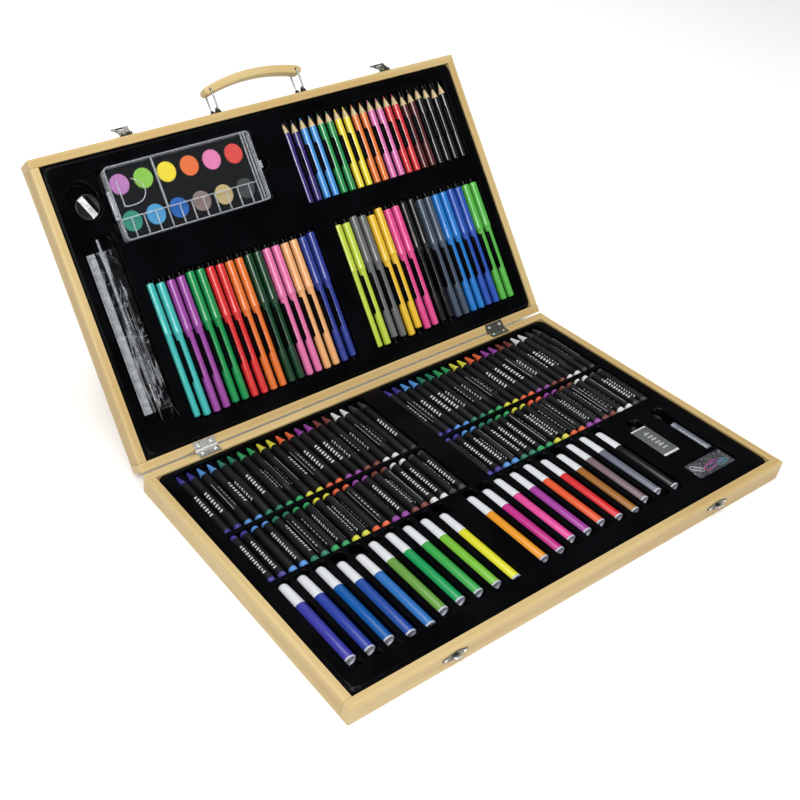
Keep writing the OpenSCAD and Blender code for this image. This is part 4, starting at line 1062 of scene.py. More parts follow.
TOPZ = TOP_L
xm = []
for x0 in FELT_X:
    for i in range(18):
        c = x0 + i * FELT_P
        xm += [c + q for q in (-4.7, -3.8, -2.4, 0, 2.4, 3.8, 4.7)]
        if i < 17:
            xm += [c + FELT_P / 2 + q for q in (-1.55, -1.35, -1.1, -0.7, 0, 0.7, 1.1, 1.35, 1.55)]
    xm += around(x0 - 5.2, -1) + around(x0 + 17 * FELT_P + 5.2, 1)
for i in range(20):
    c = PEN_X + i * PEN_P
    xm += [c + q for q in (-3.8, -3.1, -1.9, 0, 1.9, 3.1, 3.8)]
    if i < 19:
        xm += [c + PEN_P / 2 + q for q in (-1.75, -1.5, -1.2, -0.8, 0, 0.8, 1.2, 1.5, 1.75)]
xm += around(PEN_X - 4.3, -1) + around(PEN_X + 19 * PEN_P + 4.3, 1)
cxp = PAL[0] + PAL_W / 2 - 4
xm += around(cxp - PAL_W / 2 - 5.3, -1) + around(cxp + PAL_W / 2 + 5.3, 1)
xm += around(RUL[0] - 18.1, -1) + around(RUL[0] + 18.1, 1)
xm += [SHARP[0] - 19 + q for q in range(0, 36)]
xm += [PAL[0] + PAL_W + 3 + q for q in (-4, -2, 0, 2, 3.5, 5, 6, 6.6, 7.1, 7.7)]
ym = []
ym += around(FELT_V + 2.3 - 4.3, -1) + around(FELT_V + FELT_L + 2.3 + 4.3, 1)
ym += [84 + s_ * q for s_ in (-1, 1) for q in (0, 10, 19.6, 20.1, 20.5, 20.8, 21.1, 21.4)]
ym += around(PEN_V + 0.1 - 1.7, -1) + around(PEN_V + PEN_L + 0.1 + 1.7, 1)
ym += [236 + s_ * q for s_ in (-1, 1) for q in (0, 8, 13.9, 14.4, 14.9, 15.3, 15.7, 16.0)]
ym += around(PAL[1] - 1.2, -1) + around(PAL[1] + PAL_D + 1.2, 1)
ym += [PAL[1] + PAL_D / 2 + q for q in (-7.7, -7.1, -6.6, -6, -5, -3.5, -2, 0, 2, 3.5, 5, 6, 6.6, 7.1, 7.7)]
ym += around(RUL[1] + RUL_L / 2 + 1.5 - 92.3, -1) + around(RUL[1] + RUL_L / 2 + 1.5 + 92.3, 1)
ym += [SHARP[1] - 15 + 1.15 * q for q in range(0, 37)]
tray("tray_upper", lid_z, xm, ym, 152.5, TOP_L, LID, "lid", "lid_tray")

# ------------------------------------------------------------------ crayons and pastels
STICK_C = [lin(*c) for c in ((58, 50, 150), (84, 152, 226), (22, 124, 100), (40, 164, 92), (226, 222, 62), (240, 102, 50),
                             (152, 62, 164), (124, 58, 48), (234, 235, 232), (46, 46, 48))]
ROLLS = [0.05, 0.75, 1.2, 0.9, 0.1, 2.6, 1.9, 0.15, 0.8, 1.3, 2.9, 0.2, 1.0, 0.4, 2.4, 0.0, 1.5, 0.35, 0.9, 2.8]
FACING = math.radians(118)      # the side of a stick that looks up at the camera
R = 3.7
wax, paper = Acc(), Acc()
for g in (0, 1):
    for i in range(20):
        o = (ROW_X[g] + i * SP, CRAYON_Y - CRAYON_L, CR_Z)
        col = STICK_C[i // 2]
        sd = g * 20 + i
        wax.lathe(o, [(0.25, 0), (0.0, 1.4), (0.0, R - 0.7), (0.12, R - 0.3), (0.5, R - 0.02), (1.2, R), (38, R), (76.2, R), (76.9, R),
                      (77.15, R - 0.25), (77.4, R - 0.42), (84.5, 1.75), (86.4, 1.28), (87.2, 0.95), (87.65, 0.5), (87.8, 0)], 28, tint=col, seed=sd)
        ps = (3.3, 4.0)
        jig = ((sd * 37) % 10) / 10.0 - 0.5
        paper.lathe(o, [(3.5 + jig, 3.76), (3.45 + jig, 3.9), (3.55 + jig, 4.02), (3.9, 4.05), (30, 4.05), (60, 4.05), (74.6 + jig, 4.05), (74.95 + jig, 4.02), (75.05 + jig, 3.9), (75.0 + jig, 3.74)],
                    28, seed=sd, roll=FACING + ROLLS[(i * 7 + g * 3) % 20] * (1 if i % 3 else -1))
wax.build("crayons_wax", ["wax"], "crayons", BASE, ("crayon_sticks",), "crayon_wax")
paper.build("crayons_sleeves", ["crayon_print"], "crayons", BASE, ("crayon_wrappers",), "crayon_paper")
wax, paper = Acc(), Acc()
R = 3.75
for g in (0, 1):
    for i in range(20):
        o = (ROW_X[g] + i * SP, PASTEL_Y - PASTEL_L, CR_Z)
        col = STICK_C[i // 2]
        sd = 50 + g * 20 + i
        wax.lathe(o, [(0, 0), (0.0, R - 0.6), (0.15, R - 0.22), (0.6, R), (30, R), (PASTEL_L - 0.6, R), (PASTEL_L - 0.15, R - 0.22), (PASTEL_L, R - 0.6), (PASTEL_L, 0)], 28, tint=col, seed=sd)
        jig = ((sd * 23) % 10) / 10.0 - 0.5
        paper.lathe(o, [(4.6 + jig, 3.81), (4.55 + jig, 3.95), (4.65 + jig, 4.07), (5.1, 4.1), (30, 4.1), (57.3 + jig, 4.1), (57.65 + jig, 4.07), (57.75 + jig, 3.95), (57.7 + jig, 3.81)],
                    28, seed=sd, roll=FACING + ROLLS[(i * 11 + g * 5 + 4) % 20] * (1 if i % 2 else -1))
wax.build("pastels_wax", ["pastel"], "pastels", BASE, ("pastel_sticks",), "pastel_wax")
paper.build("pastels_sleeves", ["pastel_print"], "pastels", BASE, ("pastel_wrappers",), "pastel_paper")

# ------------------------------------------------------------------ thick markers
MK_C = [[(62, 62, 168), (44, 66, 165), (8, 92, 172), (34, 78, 166), (46, 116, 192), (108, 164, 70), (22, 160, 88), (60, 172, 78), (124, 198, 58), (232, 230, 48)],
        [(244, 160, 38), (202, 48, 140), (236, 78, 160), (170, 62, 164), (238, 92, 48), (226, 44, 48), (166, 106, 40), (130, 108, 114), (112, 116, 132), (11, 11, 14)]]
bar, cap, plug = Acc(), Acc(), Acc()
BL = MK_L - 26.7
for g in (0, 1):
    for i in range(10):
        o = (MK_X[g] + i * MK_P, MK_Y - MK_BACK[g][i], MK_Z)
        bar.lathe(o, [(1.46, 0), (1.46, 5.6), (1.5, 5.9), (1.8, 6.0), (30, 6.0), (BL - 0.7, 6.0), (BL - 0.35, 5.92), (BL - 0.2, 5.4), (BL - 0.2, 0)], 40, tint=lin(*MK_C[g][i]))
        plug.lathe(o, [(2.3, 0), (2.3, 3.9), (2.1, 4.15), (0.3, 4.4), (0.05, 4.6), (0.0, 4.8), (0.0, 5.5), (0.12, 5.85), (0.45, 6.06), (1.35, 6.08), (1.45, 6.0), (1.45, 0)], 40)
        cap.lathe(o, [(BL - 0.1, 0), (BL - 0.1, 5.6), (BL, 6.0), (BL + 0.3, 6.1), (BL + 1.4, 6.1), (BL + 5.5, 6.02), (BL + 7.4, 5.95), (BL + 8.4, 5.86), (BL + 9.4, 5.84), (BL + 10.5, 5.8), (BL + 14, 5.66),
                      (BL + 18, 5.5), (BL + 20.5, 5.4), (BL + 21.6, 5.33), (BL + 22.6, 5.22), (BL + 24.0, 4.8), (BL + 25.2, 4.0), (BL + 26.1, 2.7), (BL + 26.5, 1.4), (BL + 26.6, 0)],
                  80, rib=(BL + 8.2, BL + 22.4, 20, 0.26))
bar.build("markers_barrels", ["marker"], "markers", BASE, ("marker_barrels",), "marker_plastic")
cap.build("markers_caps", ["whitecap"], "markers", BASE, ("marker_caps",), "marker_white")
plug.build("markers_plugs", ["plug"], "markers", BASE, ("marker_plugs",), "marker_plug")

# ------------------------------------------------------------------ felt-tip pens
FELT_C = [[(66, 192, 186), (160, 74, 166), (22, 152, 80), (228, 50, 50), (240, 122, 50), (14, 66, 36), (240, 122, 176), (250, 182, 120), (46, 62, 152)],
          [(202, 222, 70), (108, 112, 110), (250, 202, 52), (240, 80, 150), (8, 8, 10), (70, 84, 104), (32, 126, 212), (38, 86, 186), (92, 192, 76)]]
bar, cap = Acc(), Acc()
for g in (0, 1):
    for i in range(18):
        o = (FELT_X[g] + i * FELT_P, FELT_V + FELT_UP[g][i], FELT_Z)
        col = lin(*FELT_C[g][i // 2])
        b = 83.0
        bar.lathe(o, [(0.0, 0), (0.0, 2.7), (0.05, 2.9), (0.6, 2.95), (0.62, 3.3), (0.75, 3.6), (1.1, 3.8), (1.6, 3.85), (40, 3.85), (b - 2.2, 3.85), (b - 1.2, 3.95), (b - 0.3, 4.15), (b, 4.15), (b, 0)], 28, tint=col, seed=i)
        cap.lathe(o, [(b + 0.05, 0), (b + 0.05, 4.2), (b + 0.15, 4.42), (b + 0.5, 4.5), (b + 3.0, 4.5), (b + 3.4, 4.44), (b + 20, 4.42), (b + 48.5, 4.36), (b + 50.6, 4.32), (b + 51.5, 4.1), (b + 51.9, 3.7),
                      (b + 51.95, 3.0), (b + 51.6, 2.7), (b + 51.5, 0)], 28, tint=col, seed=i)
bar.build("felt_pens_barrels", ["pen"], "felt_pens", LID, ("felt_barrels",), "pen_plastic")
cap.build("felt_pens_caps", ["pen_cap"], "felt_pens", LID, ("felt_caps",), "pen_cap_plastic")

# ------------------------------------------------------------------ pencils
PEN_C = [(54, 42, 116), (74, 154, 228), (38, 150, 80), (250, 226, 58), (242, 128, 56), (232, 122, 184), (222, 56, 62), (92, 34, 36), (20, 20, 23), (11, 11, 13)]
body, lead = Acc(), Acc()
for i in range(20):
    o = (PEN_X + i * PEN_P, PEN_V, PEN_Z)
    col = lin(*PEN_C[i // 2])
    Ln = PEN_L - SHORT[i]
    w0, w1 = Ln - 12.2, Ln - 3.0
    body.lathe(o, [(0.15, 1.1), (0.0, 1.3), (0.0, 3.1), (0.12, 3.4), (0.5, 3.58), (1.2, PEN_R), (40, PEN_R), (w0 - 0.4, PEN_R), (w0 - 0.05, PEN_R - 0.03, 1), (w0 + 0.25, PEN_R - 0.16, 1), (w0 + 5, 2.18, 1), (w1, 0.98, 1), (w1, 0)],
               28, tint=col, seed=i)
    tipc = col if i < 19 else lin(214, 210, 204)
    lead.lathe(o, [(0.2, 0), (0.05, 1.0), (0.3, 1.08), (4.0, 1.08), (4.0, 0)], 20, tint=tipc)
    lead.lathe(o, [(w1 - 1, 0), (w1 - 0.9, 0.9), (w1 + 0.02, 0.97), (w1 + 1.3, 0.62), (w1 + 2.6, 0.3), (w1 + 2.95, 0.14), (w1 + 3.0, 0)], 20, tint=tipc)
body.build("pencils_wood", ["lacquer", "pencilwood"], "pencils", LID, ("pencil_casings",), "pencil_lacquer")
lead.build("pencils_leads", ["lead"], "pencils", LID, ("pencil_leads",), "pencil_lead")

# ------------------------------------------------------------------ paint box
AT_PAL = LID @ T(*PAL)
CAKE_C = [[(190, 126, 190), (140, 202, 76), (246, 226, 52), (238, 116, 56), (236, 130, 182), (226, 74, 66)],
          [(44, 146, 126), (76, 162, 216), (20, 100, 186), (142, 122, 118), (200, 180, 126), (62, 68, 68)]]
cake = Acc()
for j, vv in enumerate((54.5, 17.9)):
    for i in range(6):
        cake.lathe((13.5 + i * 26.1, vv, 3.05), [(0, 0), (0, 10.0), (0.15, 10.25), (2.0, 10.3), (2.6, 10.15), (2.85, 9.8), (2.9, 9.2), (2.75, 6.0), (2.68, 2.5), (2.66, 0)], 48, axis="z", tint=lin(*CAKE_C[j][i]))
cake.build("paint_box_cakes", ["cake"], "palette", AT_PAL, ("paint_cakes",), "paint_cake")
low = Acc()
Vp, Fp = plate(rrect(PAL_W, PAL_D, 4, 6, PAL_W / 2, PAL_D / 2), [rrect(PAL_W - 2.4, PAL_D - 2.4, 2.8, 6, PAL_W / 2, PAL_D / 2)], 6.9, 0.25)
low.add(Vp, Fp, 1)
holes = [circle(13.5 + i * 26.1, vv, 10.7, 40) for vv in (54.5, 17.9) for i in range(6)]
Vp, Fp = plate(rrect(PAL_W - 2.0, PAL_D - 2.0, 3, 6, PAL_W / 2, PAL_D / 2), holes, 0.9, 0.2)
low.add(Vp, Fp, 0, M=Matrix.Translation((0, 0, 5.4)))
for vv in (54.5, 17.9):
    for i in range(6):
        low.lathe((13.5 + i * 26.1, vv, 0), [(1.9, 0), (1.9, 10.6), (2.2, 10.9), (5.6, 11.0), (6.15, 11.0), (6.2, 10.6), (5.6, 10.5), (3.0, 10.42), (3.0, 0)], 40, axis="z", mat=0)
for q in (22, 46.4):
    low.lathe((-1.9, q, 7.0), [(0, 0), (0, 1.4), (0.3, 1.7), (3.3, 1.7), (3.6, 1.4), (3.6, 0)], 20, mat=1)
    Vp, Fp = rbox((-1.9, q + 0.1, 5.5), (0.3, q + 3.5, 6.9), 0.2)
    low.add(Vp, Fp, 1)
low.build("paint_box_tray", ["clear_box", "clear_edge"], "palette", AT_PAL, ("palette_tray",), "paint_box_plastic")

cov = Acc()
Vp, Fp = plate(rrect(PAL_W, PAL_D, 4, 8, PAL_W / 2, PAL_D / 2), [rrect(PAL_W - 2.2, PAL_D - 2.2, 2.9, 8, PAL_W / 2, PAL_D / 2)], 3.7, 0.35, 3)
cov.add(Vp, Fp, 1, M=Matrix.Translation((0, 0, 7.25)))
Vp, Fp = plate(rrect(PAL_W - 2.6, PAL_D - 2.6, 2.8, 6, PAL_W / 2, PAL_D / 2), (), 0.5, 0.1)
cov.add(Vp, Fp, 0, M=Matrix.Translation((0, 0, 10.1)))
ribs = [((51.2, 21.2), (52.8, PAL_D - 1.2)), ((1.2, 20.3), (PAL_W - 9.0, 21.5)), ((155.4, 1.2), (156.4, PAL_D - 1.2)), ((158.8, 1.2), (159.8, PAL_D - 1.2)),
        ((8.6, 32.0), (9.7, 58.0))]
ribs += [((11.3 + i * 13.4 - 0.5, 1.2), (11.3 + i * 13.4 + 0.5, 20.4)) for i in range(11)]
for (a, b) in ribs:
    Vp, Fp = rbox((a[0], a[1], 8.7), (b[0], b[1], 10.85), 0.28, 2)
    cov.add(Vp, Fp, 1)
pts = [(9.2, 32.3, 9.8), (14, 31.6, 9.8), (22, 31.8, 9.8), (28.5, 33.4, 9.8), (33.2, 37.5, 9.8), (35.2, 43.0, 9.8), (33.6, 49.5, 9.8), (29.0, 54.0, 9.8), (24.5, 56.4, 9.8)]
tube(cov, smooth_path(pts, 5), 0.62, 10, mat=1)
Vp, Fp = rbox((PAL_W - 0.4, PAL_D / 2 - 4, 8.6), (PAL_W + 3.6, PAL_D / 2 + 4, 9.7), 0.35, 3)
cov.add(Vp, Fp, 1)
cov.lathe((-1.9, 26, 7.0), [(0, 1.1), (0, 1.5), (0.3, 1.7), (19.7, 1.7), (20, 1.5), (20, 1.1), (0, 1.1)], 24, mat=1)
Vp, Fp = rbox((-1.6, 26.1, 7.4), (0.6, 45.9, 8.6), 0.25)
cov.add(Vp, Fp, 1)
cov.build("paint_box_cover", ["clear_sheet", "clear_edge"], "palette_lid", AT_PAL, ("palette_cover",), "cover_plastic")

# ------------------------------------------------------------------ sharpener
SH = 11.0
AT_SHARP = LID @ T(SHARP[0], SHARP[1], TOP_L - 0.6 - SH) @ RZ(-65)
bl = Acc()
outline = [(-11.2, -3.5), (-9.9, -3.5), (-9.4, -2.9), (9.4, -2.9), (9.9, -3.5), (11.2, -3.5), (11.2, 3.2), (10.6, 3.5), (-10.6, 3.5), (-11.2, 3.2)]
Vp, Fp = plate(outline, [circle(0, -0.5, 1.0, 20)], 0.5, 0.08)
bl.add(Vp, Fp, 0, False)
bl.build("sharpener_blade_ground", ["blade"], "sharpener", AT_SHARP @ T(0, -1, SH - 0.55), ("sharpener_blade",), "blade_steel")
sc = Acc()


def screw(acc, x, y, z, r, h, M=None, mat=0, slot=0, tint=(0.5, 0.5, 0.5)):
    """Domed screw head with a cross cut in it, standing on z."""
    n = 32
    rings = []
    for k, (t, q) in enumerate(((0, 1.0), (0.35, 0.98), (0.7, 0.86), (0.92, 0.66), (1.0, 0.42), (1.02, 0.22))):
        pts = []
        for j in range(n):
            a = 2 * math.pi * j / n
            c, s = math.cos(a), math.sin(a)
            px, py = r * q * c, r * q * s
            zz = z + h * t
            cross = min(abs(px * math.cos(slot) + py * math.sin(slot)), abs(-px * math.sin(slot) + py * math.cos(slot)))
            if cross < r * 0.16 and q < 0.72:
                zz -= h * 0.75
            pts.append((x + px, y + py, zz))
        rings.append(pts)
    V = [p for ring in rings for p in ring] + [(x, y, z + h * 0.25)] + [(x, y, z)]
    F = []
    for k in range(len(rings) - 1):
        for j in range(n):
            F.append([k * n + j, k * n + (j + 1) % n, (k + 1) * n + (j + 1) % n, (k + 1) * n + j])
    last, c1, c0 = (len(rings) - 1) * n, len(rings) * n, len(rings) * n + 1
    for j in range(n):
        F.append([last + j, last + (j + 1) % n, c1])
        F.append([(j + 1) % n, j, c0])
    acc.add(V, F, mat, True, tint, M=M)


screw(sc, 0, -1.5, SH + 0.0, 1.6, 0.5, slot=0.4)
sc.build("sharpener_screw_head", ["bright"], "sharpener", AT_SHARP, ("sharpener_screw",), "blade_steel")
body = Acc()
prof = [(0, 0), (0, 11.7), (0.4, 12.3), (1.0, 12.5), (2.2, 12.5), (8.6, 12.5), (9.6, 12.5), (10.2, 12.38), (10.45, 12.05), (10.5, 11.6), (10.5, 10.8), (10.38, 10.3), (10.38, 0)]
body.lathe((0, 0, 0), prof, 96, axis="z", tint=lin(20, 20, 22), rib=(1.2, 9.4, 32, 0.35))
ob = body.build("sharpener_shell", ["sharp"], "sharpener", AT_SHARP, ("sharpener_body",), "sharpener_plastic")


cone = Acc()
cone.lathe((0, 0, 0), [(0, 0), (0, 1.0), (21, 3.9), (21, 0)], 32)
cone_v = np.concatenate(cone.v)
cone_v = np.stack([cone_v[:, 1] - 8.0, -cone_v[:, 0], cone_v[:, 2] + 5.4], 1)
cut(ob, [(cone_v.tolist(), cone.f), rbox((-8.5, 2.3, 4.6), (9.5, 6.6, 14.0), 0.3, 1), rbox((-11.6, -4.8, 9.98), (11.6, 2.8, 12.0), 0.1, 1)])

# ------------------------------------------------------------------ ruler
ru = Acc()
w, L = RUL_W, RUL_L
sec = [(-w / 2 + 0.15, 0.0), (w / 2 - 0.15, 0.0), (w / 2, 0.15), (w / 2, 0.75), (w / 2 - 0.2, 0.9), (w / 2 - 6, 1.98), (w / 2 - 6.4, 2.0), (-w / 2 + 8.3, 2.0), (-w / 2 + 7.9, 1.97), (-w / 2 + 0.15, 0.85), (-w / 2, 0.72), (-w / 2, 0.15)]
ys = [0, 0.15] + [L * i / 16 for i in range(1, 16)] + [L - 0.15, L]
rings = []
for k, yv in enumerate(ys):
    ins = 0.15 if k in (0, len(ys) - 1) else 0
    rings.append(ru.verts([(x * (1 - ins / 16), yv, 0.08 * (z > 1) * 0 + z + (ins if z < 0.5 else -ins)) for x, z in sec]))
n = len(sec)
for a, b in zip(rings, rings[1:]):
    for j in range(n):
        ru.face([a + j, b + j, b + (j + 1) % n, a + (j + 1) % n], 0, False)
ru.face([rings[0] + j for j in range(n)], 0, False)
ru.face([rings[-1] + j for j in reversed(range(n))], 0, False)
V0 = np.concatenate(ru.v) + np.array([RUL[0], RUL[1], TOP_L - 2.5])
ru.v = [V0]
ru.build("ruler_scale", ["ruler"], "ruler", LID, ("ruler",), "ruler_plastic")

# ------------------------------------------------------------------ eraser, tube, clips
er = Acc()
Vp, Fp = rbox((-10.3, -20.75, 0), (10.3, 20.75, 10.4), 0.9, 4)
er.add(Vp, Fp)
er.build("eraser_vinyl", ["rubber"], "eraser", T(ERASER[0], ERASER[1], TOP_B - 11.1), ("eraser_block",), "eraser_rubber")
sl = Acc()
rr = rrect(21.15, 10.95, 0.9, 4)
ri = rrect(20.7, 10.5, 0.75, 4)
rings = []
for yv, e in ((-18.6, 0.04), (-18.5, 0), (-9, 0), (0, 0), (9, 0), (18.5, 0), (18.6, 0.04)):
    rings.append(sl.verts([(x * (1 - e / 10), yv, z * (1 - e / 5)) for x, z in rr]))
rin = [sl.verts([(x, yv, z) for x, z in ri]) for yv in (-18.6, 18.6)]
n = len(rr)
for a, b in zip(rings, rings[1:]):
    for j in range(n):
        sl.face([a + j, b + j, b + (j + 1) % n, a + (j + 1) % n])
for j in range(n):
    sl.face([rin[0] + j, rings[0] + j, rings[0] + (j + 1) % n, rin[0] + (j + 1) % n], 0, False)
    sl.face([rings[-1] + j, rin[1] + j, rin[1] + (j + 1) % n, rings[-1] + (j + 1) % n], 0, False)
    sl.face([rin[1] + j, rin[0] + j, rin[0] + (j + 1) % n, rin[1] + (j + 1) % n], 0, False)
V0 = np.concatenate(sl.v) + np.array([ERASER[0], ERASER[1], TOP_B - 5.9])
sl.v = [V0]
sl.build("eraser_card", ["card"], "eraser", BASE, ("eraser_sleeve",), "eraser_card")

tb = Acc()
L = TUBE_Y[0] - TUBE_Y[1]
tb.lathe((TUBE_X, TUBE_Y[1], TOP_B - 5.9), [(0, 0), (0, 3.6), (0.2, 4.4), (0.7, 5.1), (1.6, 5.45), (2.6, 5.5), (20, 5.5), (L - 2.4, 5.5), (L - 2.0, 5.44), (L - 1.6, 5.5), (L - 0.3, 5.5), (L, 5.3), (L, 4.7),
                                            (L - 0.4, 4.62), (3.0, 4.62), (2.0, 4.2), (1.6, 3.4), (1.6, 0)], 40)
tb.build("clear_tube_shell", ["clear_tube"], "tube", BASE, ("clear_tube",), "tube_plastic")
tp = Acc()
tp.lathe((TUBE_X, TUBE_Y[0] - 4, TOP_B - 5.9), [(0, 0), (0, 4.2), (0.3, 4.5), (3.4, 4.55), (3.7, 4.3), (3.8, 3.8), (3.4, 3.4), (3.4, 0)], 32)
tp.build("clear_tube_plug", ["plug"], "tube", BASE, ("tube_plug",), "tube_plug_plastic")


def clip_path(l, w, k=6):
    """One bent-wire paper clip, flat, centred."""
    pts = []

    def arc(cx, r, a0, a1):
        for i in range(k + 1):
            a = math.radians(a0 + (a1 - a0) * i / k)
            pts.append((cx + r * math.cos(a), r * math.sin(a), 0))

    r1, r2, r3 = w / 2, w / 2 - 0.45, w / 2 - 1.1
    pts.append((-l * 0.30, -r1, 0))
    arc(l / 2 - r1, r1, -90, 90)
    arc(-l / 2 + r2, r2, 90, 270)
    arc(l / 2 - r1 - 2.0, r3, -90, 90)
    pts.append((-l * 0.22, r3, 0))
    return [(x, y, 0.75 * math.sin(i * 0.5) * 0.25) for i, (x, y, z) in enumerate(pts)]


cl = Acc()
for (l, w, col, x, y, z, a, tilt) in ((22, 6.4, (190, 62, 134), 2.5, -1.0, 1.2, 12, 4), (20, 5.6, (112, 70, 140), 5.0, -2.0, 2.5, 4, -5),
                                     (14, 5.4, (176, 178, 182), -14.0, 2.5, 1.3, -38, 6), (15, 5.0, (44, 130, 140), 13.0, -4.5, 3.6, 8, 5)):
    M = Matrix.Translation((x, y, z)) @ Matrix.Rotation(math.radians(a), 4, "Z") @ Matrix.Rotation(math.radians(tilt), 4, "Y")
    P = [tuple(M @ Vector(p)) for p in clip_path(l, w)]
    tube(cl, smooth_path(P, 2), 0.5, 8, tint=lin(*col))
cl.build("clips_wire", ["clip"], "clips", T(PACK[0], PACK[1], TOP_B - 6.2), ("paper_clips",), "clip_vinyl")

# crumpled film bag: two sheets that meet in a flat seam, closed all round
fb = Acc()
nx_, ny_ = 64, 28


def film(u, v, side):
    x, y = (u - 0.5) * 52.6, (v - 0.5) * 20.6
    ed = min(u, 1 - u) * 52.6
    ed2 = min(v, 1 - v) * 20.6
    puff = min(1.0, ed / 7.0) ** 0.7 * min(1.0, ed2 / 5.0) ** 0.7
    wr = (0.35 * math.sin(x * 0.9 + 2.1 * math.sin(y * 0.5)) + 0.30 * math.sin(y * 1.3 + x * 0.35 + 1.0) + 0.22 * math.sin(x * 2.1 - y * 1.7) + 0.18 * math.sin(x * 3.3 + y * 2.9 + 0.7))
    if side > 0:
        return (x, y, 3.0 + puff * (2.35 + 0.75 * wr))
    return (x, y, 3.0 - puff * 2.7)


idx = {}
for side in (1, -1):
    for j in range(ny_ + 1):
        for i in range(nx_ + 1):
            rim = i in (0, nx_) or j in (0, ny_)
            if side < 0 and rim:
                idx[(side, i, j)] = idx[(1, i, j)]
                continue
            idx[(side, i, j)] = fb.verts([film(i / nx_, j / ny_, side)])
for j in range(ny_):
    for i in range(nx_):
        q = [idx[(1, i, j)], idx[(1, i + 1, j)], idx[(1, i + 1, j + 1)], idx[(1, i, j + 1)]]
        fb.face(q)
        q = [idx[(-1, i, j)], idx[(-1, i, j + 1)], idx[(-1, i + 1, j + 1)], idx[(-1, i + 1, j)]]
        fb.face(q)
fb.build("clips_film_bag", ["film"], "clips", T(PACK[0], PACK[1], TOP_B - 6.5), ("clip_bag",), "bag_film")

# ------------------------------------------------------------------ latches
LEVER_OPEN = 138.0
LP_Z, LP_OUT, LP_X, FRONT = LID_H - 1.8, 2.1, 160.0, 5.0
CATCH = BASE_H - 7.5


def flare_outline():
    right = [(4.0, 1.6), (6.0, 1.9), (6.7, 2.6), (6.8, 4.2), (7.1, 6.4), (7.7, 9.0), (8.5, 11.3), (9.2, 12.9), (9.35, 13.5), (8.8, 14.1), (5.0, 13.85), (0.0, 13.8)]
    return right + [(-x, z) for x, z in reversed(right[:-1])]


def leaf_outline(l, w, n=10):
    out = []
    hl = l / 2
    for i in range(n + 1):
        t = -1 + 2 * i / n
        out.append((t * (hl - 2.2), -2.0 - (w / 2 - 2.0) * (math.cos(t * math.pi / 2) ** 1.2)))
    for i in range(1, 8):
        a = math.radians(-90 + 180 * i / 8)
        out.append((hl - 2.2 + 2.0 * math.cos(a), 2.0 * math.sin(a)))
    for i in range(n + 1):
        t = 1 - 2 * i / n
        out.append((t * (hl - 2.2), 2.0 + (w / 2 - 2.0) * (math.cos(t * math.pi / 2) ** 1.2)))
    for i in range(1, 8):
        a = math.radians(90 + 180 * i / 8)
        out.append((-hl + 2.2 + 2.0 * math.cos(a), 2.0 * math.sin(a)))
    return out


